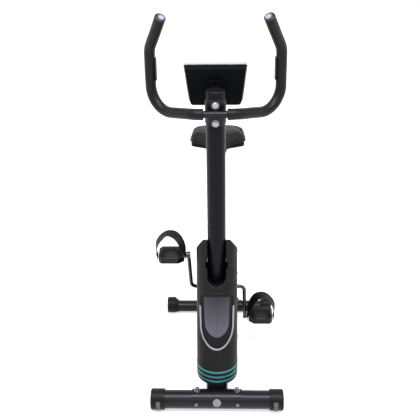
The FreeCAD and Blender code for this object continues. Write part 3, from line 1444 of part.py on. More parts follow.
def shroud_plan(inset):
    levels = (0.0, SHROUD_BEND_Z, SHROUD_RIM_Z, SHROUD_TOP, SHROUD_TOP + 60.0)
    return Part.makeLoft([plan_wire(level, inset) for level in levels], True, True)


def shroud_shoulders(inset, heading):
    """Bar along one stretch of the top, whose front view has the two cut corners."""
    start = V(0, FRONT_Y + SHROUD_RIDGE_BACK, SHROUD_TOP) - heading * FOOT_SPACING
    half = SHROUD_HALF_W + 6.0 - inset
    side = SHROUD_HALF_W - inset + 0.01
    low = -SHROUD_CHAMFER_Z - inset * 0.6
    flat = SHROUD_HALF_W - SHROUD_CHAMFER_X - inset * 0.6
    floor = -2 * SHROUD_TOP
    pairs = ((-half, floor), (half, floor), (side, low), (flat, 0.0),
             (flat, 10.0), (-flat, 10.0), (-flat, 0.0), (-side, low))
    points = [start + V(x, 0, z) for x, z in pairs]
    return Part.Face(Part.makePolygon(points + points[:1])).extrude(heading * (2 * FOOT_SPACING))


def shroud_core(inset):
    body = shroud_plan(inset).common(shroud_side(max(inset, 0.0)))
    for heading in (Y_AXIS, SHROUD_SLOPE):
        body = body.common(shroud_shoulders(inset, heading))
    return body


# half width at the top and lower down, top corners, start of the round end, lowest point, crown
SHIELD_FORM = (47.0, 43.0, 388.0, 300.0, 254.0, 6.0)
TRIM_FORM = (62.0, 59.0, 390.0, 285.0, 212.0, 6.0)


def u_prism(form, inset):
    """Arched-top, round-bottomed front view pushed through the shroud's nose."""
    half_top, half_low, top, turn, bottom, crown = form
    half_top -= inset
    half_low -= inset
    top -= inset
    start = FRONT_Y - 40.0
    corners = [V(-half_top, start, top), V(half_top, start, top), V(half_low, start, turn), V(-half_low, start, turn)]
    edges = [
        Part.Arc(corners[0], V(0, start, top + crown), corners[1]).toShape(),
        Part.LineSegment(corners[1], corners[2]).toShape(),
        half_ellipse(V(0, start, turn), X_AXIS * half_low, Z_AXIS * (bottom + inset - turn)),
        Part.LineSegment(corners[3], corners[0]).toShape(),
    ]
    face = Part.Face(Part.Wire(Part.__sortEdges__(edges)))
    return face.extrude(V(0, SHROUD_NOSE_DEPTH + SHROUD_RIM_Y + 40.0, 0))


def slot_prism(margin):
    """U-shaped opening for the post, open at the top."""
    half = SLOT_HALF_W
    pairs = ((-half, SLOT_BOTTOM), (half, SLOT_BOTTOM), (half, SHROUD_TOP + 40.0), (-half, SHROUD_TOP + 40.0))
    start = FRONT_Y - 40.0
    wire = rounded_loop([V(x, start, z) for x, z in pairs], [half - 0.05, half - 0.05, 0.0, 0.0])
    if margin != 0:
        wire = wire.makeOffset2D(margin)
    end = post_point(SLOT_BOTTOM).y + SLOT_HALF_W
    return Part.Face(wire).extrude(V(0, end - start, 0))


def bolt_notches():
    """Room for the heads of the post's side bolts, open to the front."""
    bolt = post_point(POST_BOLT_Z)
    radius = BOLT_HEAD_D / 2 + BOLT_NOTCH
    reach = POST_D / 2 + BOLT_HEAD_H + BOLT_NOTCH
    notches = [cylinder(radius, bolt - X_AXIS * reach, bolt + X_AXIS * reach)]
    for side in (-1, 1):
        low = V(side * POST_D / 4, FRONT_Y, POST_BOLT_Z - radius)
        high = V(side * reach, bolt.y, POST_BOLT_Z + radius)
        notches.append(box(V(min(low.x, high.x), low.y, low.z), V(max(low.x, high.x), high.y, high.z)))
    return notches


def shroud_openings():
    """Everything that passes through the shroud's wall."""
    crank_reach = X_AXIS * (SHROUD_HALF_W + 20.0)
    leg_start = seat_point(CRANK_HEIGHT - 60.0)
    leg_end = V(0, REAR_Y, REAR_Z)
    slot_back = mast_solid(SLOT_HALF_W, SLOT_BOTTOM + 20.0, POST_TOP)
    return [
        cylinder(CRANK_HOLE_D / 2, CRANK_CENTRE - crank_reach, CRANK_CENTRE + crank_reach),
        seat_tube_solid(SEAT_TUBE_D / 2 + LOOSE),
        slab_bar(leg_start, leg_end, LEG_W + 2 * LOOSE, LEG_H + 2 * LOOSE),
        neck_solid(-LOOSE, SHROUD_BOTTOM - 10.0, SPINE_TOP),
        slot_prism(0.0),
        slot_back,
        u_prism(SHIELD_FORM, 0.0),
        shroud_plan(-1.0).cut(shroud_plan(PANEL_DEPTH)).common(u_prism(TRIM_FORM, TRIM_W)),
    ] + bolt_notches()


def slab_bar(start, end, width, height):
    """Plain rectangular bar between two points in the mid plane."""
    along = (end - start).normalize()
    lift = (Z_AXIS - along * along.dot(Z_AXIS)).normalize()
    corners = []
    for across, up in ((-1, -1), (1, -1), (1, 1), (-1, 1)):
        corners.append(start + X_AXIS * (across * width / 2) + lift * (up * height / 2))
    return Part.Face(Part.makePolygon(corners + corners[:1])).extrude(end - start)


def slot_lip():
    """Inward wall round the post's opening."""
    lip = slot_prism(SLOT_LIP_T).cut(slot_prism(0.0))
    depth = box(V(-SHROUD_HALF_W, FRONT_Y - 40.0, SLOT_BOTTOM - 10.0),
                V(SHROUD_HALF_W, post_point(SLOT_BOTTOM).y, SHROUD_TOP + 10.0))
    return lip.common(depth).common(shroud_core(SHROUD_WALL / 2))


def shroud_halves():
    shell = shroud_core(0.0).cut(shroud_core(SHROUD_WALL))
    for opening in shroud_openings():
        shell = shell.cut(opening)
    lip = slot_lip().cut(mast_solid(POST_D / 2 + LOOSE, POST_BOTTOM - 20.0, POST_TOP))
    for notch in bolt_notches():
        lip = lip.cut(notch)
    shell = shell.fuse(lip)
    reach = 2 * FOOT_SPACING
    left = box(V(-reach, -reach, 0), V(0, reach, reach))
    right = box(V(0, -reach, 0), V(reach, reach, reach))
    return largest(shell.common(left)), largest(shell.common(right))


def shroud_shield():
    """Insert in the nose: a face in the opening and a flange behind the wall."""
    face_part = shroud_core(SHIELD_SINK).cut(shroud_core(SHROUD_WALL + 1.0))
    face_part = face_part.common(u_prism(SHIELD_FORM, SHIELD_GAP))
    half = SHIELD_CREASE / 2
    crease = box(V(-half, FRONT_Y - 40.0, 0), V(half, FRONT_Y + FOOT_SPACING, SHROUD_TOP))
    face_part = face_part.cut(crease.cut(shroud_core(SHIELD_SINK + half)))
    flange = shroud_core(SHROUD_WALL + SLIP).cut(shroud_core(SHROUD_WALL + SHIELD_T))
    flange = flange.common(u_prism(SHIELD_FORM, -SHIELD_FLANGE))
    return largest(fuse([face_part, flange]))


def proud_skin(height):
    """Thin layer on the outside of the shroud."""
    return shroud_plan(-height).cut(shroud_plan(-SKIN_GAP))


def shroud_trim_line():
    """Raised U-shaped line round the shield."""
    band = u_prism(TRIM_FORM, 0.0).cut(u_prism(TRIM_FORM, TRIM_W))
    top = box(V(-SHROUD_HALF_W * 2, FRONT_Y - 100.0, TRIM_TOP), V(SHROUD_HALF_W * 2, REAR_Y, SHROUD_TOP))
    return largest(proud_skin(TRIM_T).common(band).cut(top))


def shroud_stripes():
    """Three raised bands round the foot of the nose."""
    bands = []
    skin = proud_skin(TRIM_T)
    for height in STRIPE_HEIGHTS:
        low = V(-SHROUD_HALF_W * 2, FRONT_Y - 100.0, height - STRIPE_H / 2)
        high = V(SHROUD_HALF_W * 2, FRONT_Y + STRIPE_BACK, height + STRIPE_H / 2)
        bands.append(largest(skin.common(box(low, high))))
    return Part.makeCompound(bands)


def shroud_screws():
    """Screw heads on the two sides and on the round nose."""
    screws = []
    for across, height in NOSE_SCREWS:
        share = math.sqrt(1 - (across / SHROUD_HALF_W) ** 2)
        front = FRONT_Y + nose_back(height) + SHROUD_NOSE_DEPTH * (1 - share)
        sideways = across * SHROUD_NOSE_DEPTH / (share * SHROUD_HALF_W ** 2)
        rise = (nose_back(height + 1.0) - nose_back(height - 1.0)) / 2
        screws.append(dome(V(across, front, height), V(sideways, -1.0, rise).normalize(), SCREW_D, SCREW_H))
    for side in (-1, 1):
        for back, height in SCREW_SPOTS:
            spot = V(side * SHROUD_HALF_W, FRONT_Y + back, height)
            screws.append(dome(spot, X_AXIS * side, SCREW_D, SCREW_H))
    return Part.makeCompound(screws)


# ================================================================ assembly
def pieces():
    left_shroud, right_shroud = shroud_halves()
    cap = front_cap_with_wheel_slot()
    wheel = transport_wheel()
    cam = rear_cap()
    sides = {"left": -1, "right": 1}
    named = {
        "front_stabiliser_tube": front_stabiliser(),
        "front_caps": Part.makeCompound([cap, mirror_x(cap)]),
        "transport_wheel_left": wheel,
        "transport_wheel_right": mirror_x(wheel),
        "transport_wheel_axles": wheel_axles(),
        "badge_disc": badge_disc(),
        "stabiliser_face_screws": face_screws(),
        "rear_stabiliser_tube": rear_stabiliser(),
        "rear_levelling_cap_left": cam,
        "rear_levelling_cap_right": mirror_x(cam),
        "frame_bolts": hex_bolts(),
        "frame_washers": curved_washers(),
        "frame_dome_nuts": dome_nuts(),
        "frame_spine": frame_spine(),
        "frame_seat_tube": frame_seat_tube(),
        "frame_rear_leg": frame_rear_leg(),
        "frame_mast": frame_mast(),
        "crank_bearings": crank_bearings(),
        "crank": crank(),
        "crank_pulley": crank_pulley(),
        "pedal_spindles": pedal_spindles(),
        "drive_belt": drive_belt(),
        "flywheel": flywheel(),
        "flywheel_axle": flywheel_axle(),
        "flywheel_bracket": flywheel_bracket(),
        "magnet_bracket": magnet_bracket(),
        "brake_magnets": brake_magnets(),
        "brake_spring": brake_spring(),
        "tension_cable": tension_cable(),
        "tension_knob": tension_knob(),
        "shroud_left": left_shroud,
        "shroud_right": right_shroud,
        "shroud_shield": shroud_shield(),
        "shroud_trim_line": shroud_trim_line(),
        "shroud_stripes": shroud_stripes(),
        "shroud_screws": shroud_screws(),
        "handlebar_post": handlebar_post(),
        "post_cap": post_cap(),
        "handlebar_bracket": handlebar_bracket(),
        "handlebar_tube": handlebar_tube(),
        "grips": Part.makeCompound([grip(-1), grip(1)]),
        "grip_plugs": grip_plugs(),
        "pulse_sensors": pulse_sensors(),
        "console_back": console_back(),
        "console_bezel": console_bezel(),
        "console_lens": console_lens(),
        "console_board": console_board(),
        "seat_post": seat_post(),
        "seat_bushing": seat_bushing(),
        "seat_knob": seat_knob(),
        "seat_base": seat_base(),
        "seat_cushion": seat_cushion(),
    }
    for word, side in sides.items():
        named["pedal_" + word] = on_pedal(pedal_local(), side)
        named["pedal_strap_" + word] = on_pedal(strap_local(), side)
    for index, word in enumerate(("left", "middle", "right")):
        named["console_button_" + word] = console_button(index)
    return named


def main():
    os.makedirs("parts", exist_ok=True)
    for name, shape in pieces().items():
        shape.exportStep("parts/" + name + ".step")


main()
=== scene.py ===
import json
import math
import bmesh
import bpy
from mathutils import Matrix, Vector
from mathutils.bvhtree import BVHTree
from mathutils.kdtree import KDTree


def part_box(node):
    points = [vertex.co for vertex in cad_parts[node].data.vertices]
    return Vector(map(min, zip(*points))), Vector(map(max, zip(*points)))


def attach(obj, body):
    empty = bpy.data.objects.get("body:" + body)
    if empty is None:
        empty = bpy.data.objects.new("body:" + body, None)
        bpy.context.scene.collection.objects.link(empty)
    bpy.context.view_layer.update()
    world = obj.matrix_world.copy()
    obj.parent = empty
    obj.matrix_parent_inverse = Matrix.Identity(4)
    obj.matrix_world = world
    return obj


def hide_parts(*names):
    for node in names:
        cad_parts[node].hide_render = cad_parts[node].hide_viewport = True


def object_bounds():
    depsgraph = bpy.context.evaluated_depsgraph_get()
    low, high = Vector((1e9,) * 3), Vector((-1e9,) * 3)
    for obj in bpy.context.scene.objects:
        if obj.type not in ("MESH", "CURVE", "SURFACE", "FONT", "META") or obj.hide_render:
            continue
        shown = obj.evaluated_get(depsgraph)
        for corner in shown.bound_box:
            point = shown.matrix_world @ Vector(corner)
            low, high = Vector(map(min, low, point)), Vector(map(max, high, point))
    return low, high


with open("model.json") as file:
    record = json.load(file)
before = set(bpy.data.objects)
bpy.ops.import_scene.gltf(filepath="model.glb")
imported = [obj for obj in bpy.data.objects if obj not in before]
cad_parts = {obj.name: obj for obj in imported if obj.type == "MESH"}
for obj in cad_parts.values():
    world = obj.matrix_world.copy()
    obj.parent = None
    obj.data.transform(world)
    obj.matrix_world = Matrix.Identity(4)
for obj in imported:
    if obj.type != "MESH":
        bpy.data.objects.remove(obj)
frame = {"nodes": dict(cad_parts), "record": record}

CAD_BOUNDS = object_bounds()
NODES = frame["nodes"]
SCENE = bpy.context.scene
SCENE.view_settings.view_transform = "Standard"

# camera: metres, degrees and the sensor's millimetres
CAMERA_X = 0.035
CAMERA_AHEAD = 1.902      # in front of the front stabiliser's axis
CAMERA_Z = 1.419
CAMERA_DOWN = 19.74
CAMERA_YAW = 1.585
CAMERA_ROLL = -0.6
LENS = 55.54
SENSOR_WIDTH = 36.0

# studio
AMBIENT = 0.35
PAPER_GLOW = 0.6          # of plain white, added to the floor under the bike
PAPER_NEAR = 1.0          # from here the floor turns whiter
PAPER_FAR = 2.6           # and is plain white from here on
FLOOR_HALF = 30.0
MIDDLE = (0.0, 0.0, 0.6)
LAMPS = (                 # name, place, target, width and height, watts
    ("overhead", (0.0, -1.3, 2.8), (0.0, -0.3, 0.2), (3.0, 0.8), 108),
    ("front_fill", (0.3, -3.8, 2.4), MIDDLE, (2.4, 1.2), 14),
    ("left_strip", (-2.8, 0.6, 1.4), MIDDLE, (0.5, 2.0), 16),
    ("right_strip", (2.8, 0.6, 1.4), MIDDLE, (0.5, 2.0), 16),
    ("rear", (0.0, 3.2, 2.4), MIDDLE, (2.4, 1.2), 14),
)

# seat cushion
CUSHION_VOXEL = 0.005
CUSHION_SHRINK = 0.003    # taken off before the pressure swells it again
CUSHION_SHRINK_RISE = 0.01
CUSHION_HELD = 0.004      # height of the foot that stays on the seat pan
CUSHION_PRESSURE = 4.0
CUSHION_FRAMES = 20
CUSHION_CAP = 0.007       # longest move of a point
CUSHION_RELAX = 14
CROWN_START = 0.018       # shaping begins this far above the foot
CROWN_END = 0.006         # and is full this far below the top
DISH_DEPTH = 0.0035
DISH_PLACE = 0.42         # share of the length, from the nose
DISH_SPREAD = 0.2
TAIL_RISE = 0.0025
CHANNEL_DEPTH = 0.0042
CHANNEL_HALF = 0.011
SEAM_INSET = 0.017        # sewn line inside the cushion's outline
SEAM_DEPTH = 0.0024
SEAM_HALF = 0.0026
THREAD_INSET = 1.04       # of the seam's inset: the outline isn't a circle round its middle
WELT_HEIGHT = 0.011       # piping above the cushion's foot
WELT_RADIUS = 0.0021
OUTLINE_STEP = 0.004
STITCH = 0.0034
STITCH_PITCH = 0.0062
THREAD_RADIUS = 0.0006

# grips
FOAM_VOXEL = 0.0024
FOAM_RELAX = 3
FOAM_INSIDE = 0.002       # nearer to the bar than this is the sleeve's bore
FOAM_LUMP = 0.00025
FOAM_LIP = 0.0007         # swollen end of the sleeve beside the bracket
FOAM_LIP_HALF = 0.006
GRIP_START = 0.037        # foam begins this far from the middle

# pedals and straps
STRAP_THICK = 0.0024
STRAP_EASE = 0.005        # outer side drawn in from the widest place of the CAD strap
STRAP_LEAN = 0.015        # front edge of the strap leans in over the foot
STRAP_TWIST = 1.4         # of the lean, lost and turned back by the outer side
STRAP_TOP = {"left": 0.96, "right": 1.05}     # of the CAD strap's height
STRAP_END = 0.013         # its legs stop this far above the CAD strap's feet
STRAP_DROP = 0.007
STRAP_STEPS = 8           # places between two points of its line
STRAP_PROFILE = (         # across the strap: share of its width, share of its thickness
    (0.0, -0.3), (0.03, -0.5), (0.15, -0.5), (0.2, -0.38),
    (0.8, -0.38), (0.85, -0.5), (0.97, -0.5), (1.0, -0.3),
    (1.0, 0.3), (0.97, 0.5), (0.85, 0.5), (0.8, 0.38),
    (0.2, 0.38), (0.15, 0.5), (0.03, 0.5), (0.0, 0.3))
PAD_INSET = 0.003
PAD_CROWN = 0.01
PAD_SKIRT = 0.0015
PAD_ROUND = 3.0           # power of the rounded outline and crown
PAD_ROWS = 110
PAD_COLUMNS = 36
PAD_REACH = 0.99          # the outline's two ends are cut off just before they come to a point
RIB_PITCH = 0.0066
RIB_RISE = 0.0016
EDGE_RIB_RADIUS = 0.0016
EDGE_RIB_SINK = 0.0008
EDGE_RIB_UPS = (-0.006, 0.0, 0.006)
EDGE_RIB_INNER = 0.026    # from the pedal's crank side
EDGE_RIB_OUTER = 0.016    # from its outer side

# shroud trim
TRIM_RADIUS = 0.0009
TRIM_STEPS = 40
RIM_Z = 0.455             # inside the slot's round end
RIM_FLANK = 0.066         # beside the slot, where the nose has turned back
RIM_START = 0.012         # search for the rim from here outwards
RIM_LIMIT = 0.07
RIM_SEARCH = 0.0004
RIM_FROM = -158.0         # degrees round the slot's round end
RIM_TURN = 136.0
SEAM_OVERHANG = 0.006     # past the shield's sides
SEAM_OVER = 0.006
SEAM_ARCH = 0.007


# ------------------------------------------------------------ camera
def front_axis():
    low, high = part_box("front_stabiliser_tube")
    return (low + high) / 2


def add_camera():
    """Camera at the photograph's place: in front, above and a little to the right."""
    data = bpy.data.cameras.new("camera")
    data.sensor_width = SENSOR_WIDTH
    data.lens = LENS
    camera = bpy.data.objects.new("camera", data)
    SCENE.collection.objects.link(camera)
    axis = front_axis()
    camera.location = (CAMERA_X, axis.y - CAMERA_AHEAD, CAMERA_Z)
    turn = Matrix.Rotation(math.radians(CAMERA_YAW), 3, "Z")
    turn = turn @ Matrix.Rotation(math.radians(90 - CAMERA_DOWN), 3, "X")
    turn = turn @ Matrix.Rotation(math.radians(CAMERA_ROLL), 3, "Z")
    camera.rotation_euler = turn.to_euler()
    SCENE.camera = camera


# ------------------------------------------------------------ nodes
class Graph:
    """Small helper round a material's node tree."""

    def __init__(self, name):
        self.material = bpy.data.materials.new(name)
        self.material.use_nodes = True
        self.tree = self.material.node_tree
        self.shader = self.tree.nodes["Principled BSDF"]
        self.coords = self.tree.nodes.new("ShaderNodeTexCoord").outputs["Object"]

    def link(self, output, socket):
        self.tree.links.new(output, socket)

    def mapped(self, scale):
        node = self.tree.nodes.new("ShaderNodeMapping")
        node.inputs["Scale"].default_value = scale
        self.link(self.coords, node.inputs["Vector"])
        return node.outputs["Vector"]

    def noise(self, scale, detail=3.0, roughness=0.5, vector=None):
        node = self.tree.nodes.new("ShaderNodeTexNoise")
        node.inputs["Scale"].default_value = scale
        node.inputs["Detail"].default_value = detail
        node.inputs["Roughness"].default_value = roughness
        self.link(vector or self.coords, node.inputs["Vector"])
        return node.outputs["Fac"]

    def voronoi(self, scale, feature="F1"):
        node = self.tree.nodes.new("ShaderNodeTexVoronoi")
        node.feature = feature
        node.inputs["Scale"].default_value = scale
        self.link(self.coords, node.inputs["Vector"])
        return node.outputs["Distance"]

    def wave(self, scale, direction):
        node = self.tree.nodes.new("ShaderNodeTexWave")
        node.bands_direction = direction
        node.inputs["Scale"].default_value = scale
        self.link(self.coords, node.inputs["Vector"])
        return node.outputs["Fac"]

    def spread(self, value, low, high, out_low=0.0, out_high=1.0):
        node = self.tree.nodes.new("ShaderNodeMapRange")
        for socket, number in zip(node.inputs[1:5], (low, high, out_low, out_high)):
            socket.default_value = number
        self.link(value, node.inputs["Value"])
        return node.outputs["Result"]

    def ramp(self, value, stops):
        node = self.tree.nodes.new("ShaderNodeValToRGB")
        elements = node.color_ramp.elements
        while len(elements) < len(stops):
            elements.new(0.5)
        for element, (place, colour) in zip(elements, stops):
            element.position = place
            element.color = (*colour, 1)
        self.link(value, node.inputs["Fac"])
        return node.outputs["Color"]

    def bump(self, height, strength, distance, normal=None):
        node = self.tree.nodes.new("ShaderNodeBump")
        node.inputs["Strength"].default_value = strength
        node.inputs["Distance"].default_value = distance
        self.link(height, node.inputs["Height"])
        if normal is not None:
            self.link(normal, node.inputs["Normal"])
        return node.outputs["Normal"]

    def painted_recess_shade(self, colour, reach):
        """Painted shade: a colour that turns near black inside slots and recesses, from ambient occlusion."""
        shade = self.tree.nodes.new("ShaderNodeAmbientOcclusion")
        shade.samples = 8
        shade.inputs["Distance"].default_value = reach
        mix = self.tree.nodes.new("ShaderNodeMix")
        mix.data_type = "RGBA"
        factor = mix.inputs[0]
        dark, light = mix.inputs[6:8]       # its two colour inputs
        self.link(self.spread(shade.outputs["AO"], 0.7, 0.97), factor)
        dark.default_value = (0.001, 0.001, 0.001, 1)
        self.link(colour, light)
        return mix.outputs[2]

    def soft_edge(self, radius):
        node = self.tree.nodes.new("ShaderNodeBevel")
        node.samples = 4
        node.inputs["Radius"].default_value = radius
        return node.outputs["Normal"]


LAVENDER = (0.92, 0.89, 1.0)       # tone of the highlights on the black paint and foam


def tint(colour, factor):
    return tuple(min(1.0, channel * factor) for channel in colour)


def surface(name, colour, rough, metal=0.0, vary=0.12, grain=900.0, bump=0.08, depth=0.0004,
            cloud=9.0, edge=0.0, specular=0.5, rough_vary=0.06, tone=(1, 1, 1), recess_shade_reach=0.0):
    """Colour that drifts a little, clouded roughness and a fine grain in the normal, with painted shade in
    recesses when a reach for it is given.
    """
    g = Graph(name)
    drift = g.noise(cloud, 5.0, 0.6)
    body = g.ramp(drift, ((0.3, tint(colour, 1 - vary)), (0.7, tint(colour, 1 + vary))))
    # painted shade: the colour turns near black in slots and recesses
    g.link(g.painted_recess_shade(body, recess_shade_reach) if recess_shade_reach else body, g.shader.inputs["Base Color"])
    fine = g.noise(grain, 2.0, 0.5)
    g.link(g.spread(g.noise(cloud * 3, 4.0, 0.55), 0.3, 0.7, rough - rough_vary, rough + rough_vary),
           g.shader.inputs["Roughness"])
    normal = g.soft_edge(edge) if edge else None
    g.link(g.bump(fine, bump, depth, normal), g.shader.inputs["Normal"])
    g.shader.inputs["Metallic"].default_value = metal
    g.shader.inputs["Specular IOR Level"].default_value = specular
    g.shader.inputs["Specular Tint"].default_value = (*tone, 1)
    return g.material


def foam():
    """Closed-cell grip foam: small pits and a dusty surface."""
    g = Graph("grip_foam")
    cells = g.voronoi(420.0)
    speck = g.noise(600.0, 4.0, 0.6)
    g.link(g.ramp(speck, ((0.35, (0.0014, 0.0015, 0.002)), (0.65, (0.0034, 0.0036, 0.0045)))),
           g.shader.inputs["Base Color"])
    g.link(g.spread(speck, 0.3, 0.7, 0.38, 0.5), g.shader.inputs["Roughness"])
    g.link(g.bump(cells, 0.2, 0.0003), g.shader.inputs["Normal"])
    g.shader.inputs["Specular IOR Level"].default_value = 0.2
    g.shader.inputs["Specular Tint"].default_value = (*LAVENDER, 1)
    return g.material


def vinyl():
    """Soft seat cover with a leather-like grain."""
    g = Graph("seat_vinyl")
    cells = g.voronoi(330.0, "DISTANCE_TO_EDGE")
    drift = g.noise(14.0, 4.0, 0.55)
    g.link(g.ramp(drift, ((0.3, (0.0055, 0.0056, 0.006)), (0.7, (0.009, 0.0091, 0.0098)))),
           g.shader.inputs["Base Color"])
    g.link(g.spread(g.noise(60.0), 0.3, 0.7, 0.42, 0.56), g.shader.inputs["Roughness"])
    low = g.bump(g.spread(cells, 0.0, 0.25), 0.35, 0.0005)
    g.link(g.bump(g.noise(900.0), 0.1, 0.0003, low), g.shader.inputs["Normal"])
    g.shader.inputs["Specular IOR Level"].default_value = 0.14
    return g.material


def brushed(name, colour, rough):
    """Bare metal with fine lines and slight stains."""
    g = Graph(name)
    lines = g.noise(160.0, 6.0, 0.7, g.mapped((1.0, 12.0, 12.0)))
    stain = g.noise(22.0, 4.0, 0.6)
    g.link(g.ramp(stain, ((0.3, tint(colour, 0.86)), (0.7, tint(colour, 1.08)))),
           g.shader.inputs["Base Color"])
    g.link(g.spread(lines, 0.25, 0.75, rough - 0.07, rough + 0.09), g.shader.inputs["Roughness"])
    g.link(g.bump(lines, 0.06, 0.0002, g.soft_edge(0.0006)), g.shader.inputs["Normal"])
    g.shader.inputs["Metallic"].default_value = 1.0
    return g.material


def strap():
    """Moulded strap: fine cross ribs and a dull sheen."""
    g = Graph("strap_rubber")
    ribs = g.wave(140.0, "Z")
    g.link(g.ramp(g.noise(40.0, 4.0), ((0.3, (0.005, 0.005, 0.0065)), (0.7, (0.009, 0.009, 0.011)))),
           g.shader.inputs["Base Color"])
    g.link(g.spread(g.noise(90.0), 0.3, 0.7, 0.42, 0.56), g.shader.inputs["Roughness"])
    low = g.bump(ribs, 0.25, 0.0004)
    g.link(g.bump(g.noise(1200.0), 0.1, 0.0002, low), g.shader.inputs["Normal"])
    g.shader.inputs["Specular IOR Level"].default_value = 0.18
    return g.material


def plug():
    """Glossy end plug: a painted highlight, pale in the middle of its end face, and painted shade, dark
    towards its rim.
    """
    g = Graph("plug_plastic")
    upward = [face for face in NODES["grip_plugs"].data.polygons if face.normal.z > 0.3]
    end = max(upward, key=lambda face: face.area)
    width = g.tree.nodes.new("ShaderNodeVectorMath")
    width.operation = "ABSOLUTE"
    g.link(g.coords, width.inputs[0])
    away = g.tree.nodes.new("ShaderNodeVectorMath")
    away.operation = "DISTANCE"
    g.link(width.outputs[0], away.inputs[0])
    away.inputs[1].default_value = [abs(value) for value in end.center]
    # painted highlight at the middle of the end face, fading to painted shade at its rim
    painted_light_fade = g.spread(away.outputs["Value"], 0.004, 0.016)
    painted_light_shades = ((0.1, (0.3, 0.29, 0.36)), (0.55, (0.09, 0.088, 0.115)), (0.8, (0.012, 0.012, 0.016)))
    g.link(g.ramp(painted_light_fade, painted_light_shades), g.shader.inputs["Base Color"])
    g.link(g.spread(g.noise(80.0), 0.3, 0.7, 0.16, 0.26), g.shader.inputs["Roughness"])
    g.link(g.bump(g.noise(900.0), 0.04, 0.0002, g.soft_edge(0.001)), g.shader.inputs["Normal"])
    g.shader.inputs["Specular IOR Level"].default_value = 0.3
    return g.material


def shield():
    """Satin lavender-grey cover panel with painted light and shade: lighter at its bottom and fading darker
    towards its top.
    """
    g = Graph("shield_plastic")
    low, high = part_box("shroud_shield")
    split = g.tree.nodes.new("ShaderNodeSeparateXYZ")
    g.link(g.coords, split.inputs[0])
    # painted light and shade: lighter low on the panel, darker towards its top
    painted_light_fade = g.spread(split.outputs["Z"], low.z, high.z)
    painted_light_shades = ((0.05, (0.1, 0.096, 0.13)), (0.45, (0.062, 0.06, 0.08)), (0.95, (0.02, 0.0195, 0.027)))
    g.link(g.ramp(painted_light_fade, painted_light_shades), g.shader.inputs["Base Color"])
    g.link(g.spread(g.noise(27.0, 4.0), 0.3, 0.7, 0.26, 0.36), g.shader.inputs["Roughness"])
    g.link(g.bump(g.noise(1300.0, 2.0), 0.05, 0.0004, g.soft_edge(0.001)), g.shader.inputs["Normal"])
    g.shader.inputs["Specular IOR Level"].default_value = 0.3
    return g.material


def board():
    """Circuit board: lacquer with fine copper tracks."""
    g = Graph("board_laminate")
    tracks = g.wave(90.0, "X")
    g.link(g.ramp(tracks, ((0.48, (0.02, 0.09, 0.04)), (0.56, (0.05, 0.17, 0.08)))),
           g.shader.inputs["Base Color"])
    g.link(g.spread(g.noise(50.0), 0.3, 0.7, 0.35, 0.5), g.shader.inputs["Roughness"])
    g.link(g.bump(tracks, 0.1, 0.0002), g.shader.inputs["Normal"])
    return g.material


SURFACES = {              # colour, roughness and what differs from a plain surface
    "tube_black": ((0.003, 0.003, 0.0045), 0.3,
                   dict(vary=0.15, grain=1400, bump=0.03, depth=0.0002, edge=0.0004, specular=0.26,
                        tone=LAVENDER)),
    "post_black": ((0.0026, 0.003, 0.005), 0.36,
                   dict(vary=0.15, grain=1400, bump=0.08, depth=0.0002, edge=0.001, specular=0.12,
                        tone=LAVENDER)),
    "seat_post_steel": ((0.004, 0.004, 0.0055), 0.3,
                        dict(vary=0.15, grain=1400, edge=0.001, specular=0.24, tone=LAVENDER)),
    "cap_plastic": ((0.005, 0.005, 0.006), 0.42, dict(grain=700, bump=0.2, edge=0.0012, specular=0.14)),
    # partly the rubber's own grey and partly painted light: lightened so the wheel shows in the shade of its
    # slot
    "wheel_rubber": ((0.1, 0.098, 0.11), 0.45, dict(grain=500, bump=0.2, edge=0.001, specular=0.3)),
    "badge_plastic": ((0.24, 0.24, 0.25), 0.45, dict(grain=600, edge=0.0008, specular=0.3)),
    "crank_chrome": ((0.045, 0.052, 0.053), 0.14,
                     dict(metal=1.0, vary=0.06, grain=300, bump=0.03, cloud=20, rough_vary=0.04)),
    "pulley_plastic": ((0.02, 0.02, 0.022), 0.5, dict(edge=0.0008, specular=0.2)),
    "belt_rubber": ((0.008, 0.008, 0.008), 0.7, dict(grain=500, bump=0.3, specular=0.15)),
    "cable_sheath": ((0.007, 0.007, 0.007), 0.5, dict(specular=0.2)),
    "knob_plastic": ((0.006, 0.006, 0.007), 0.4, dict(grain=600, bump=0.15, edge=0.001, specular=0.2)),
    # painted shade: the shroud's colour turns near black in its slot and recesses
    "shroud_plastic": ((0.0125, 0.0125, 0.013), 0.5,
                       dict(vary=0.12, grain=1100, bump=0.1, edge=0.0018, specular=0.07, recess_shade_reach=0.035)),
    "trim_plastic": ((0.3, 0.29, 0.35), 0.35, dict(edge=0.0004)),
    "accent_plastic": ((0.025, 0.18, 0.2), 0.35, dict(vary=0.08, edge=0.0004, specular=0.3)),
    "sensor_plastic": ((0.005, 0.005, 0.006), 0.4, dict(edge=0.0015, specular=0.2)),
    "console_plastic": ((0.0016, 0.0022, 0.0026), 0.5,
                        dict(grain=900, bump=0.14, edge=0.001, specular=0.05)),
    "bezel_plastic": ((0.38, 0.41, 0.43), 0.3, dict(metal=0.2, vary=0.06, grain=900, edge=0.001)),
    "lens_plastic": ((0.10, 0.12, 0.10), 0.12, dict(vary=0.05, grain=200, bump=0.02)),
    "button_rubber": ((0.04, 0.04, 0.045), 0.6, dict(grain=600, bump=0.2)),
    "seat_pan_plastic": ((0.004, 0.004, 0.004), 0.55, dict(grain=600, bump=0.25, specular=0.12)),
    "seat_thread": ((0.01, 0.01, 0.011), 0.7, dict(grain=2500, bump=0.4, specular=0.15)),
    "pedal_plastic": ((0.005, 0.005, 0.0065), 0.38, dict(grain=600, bump=0.25, edge=0.0008, specular=0.2)),
}
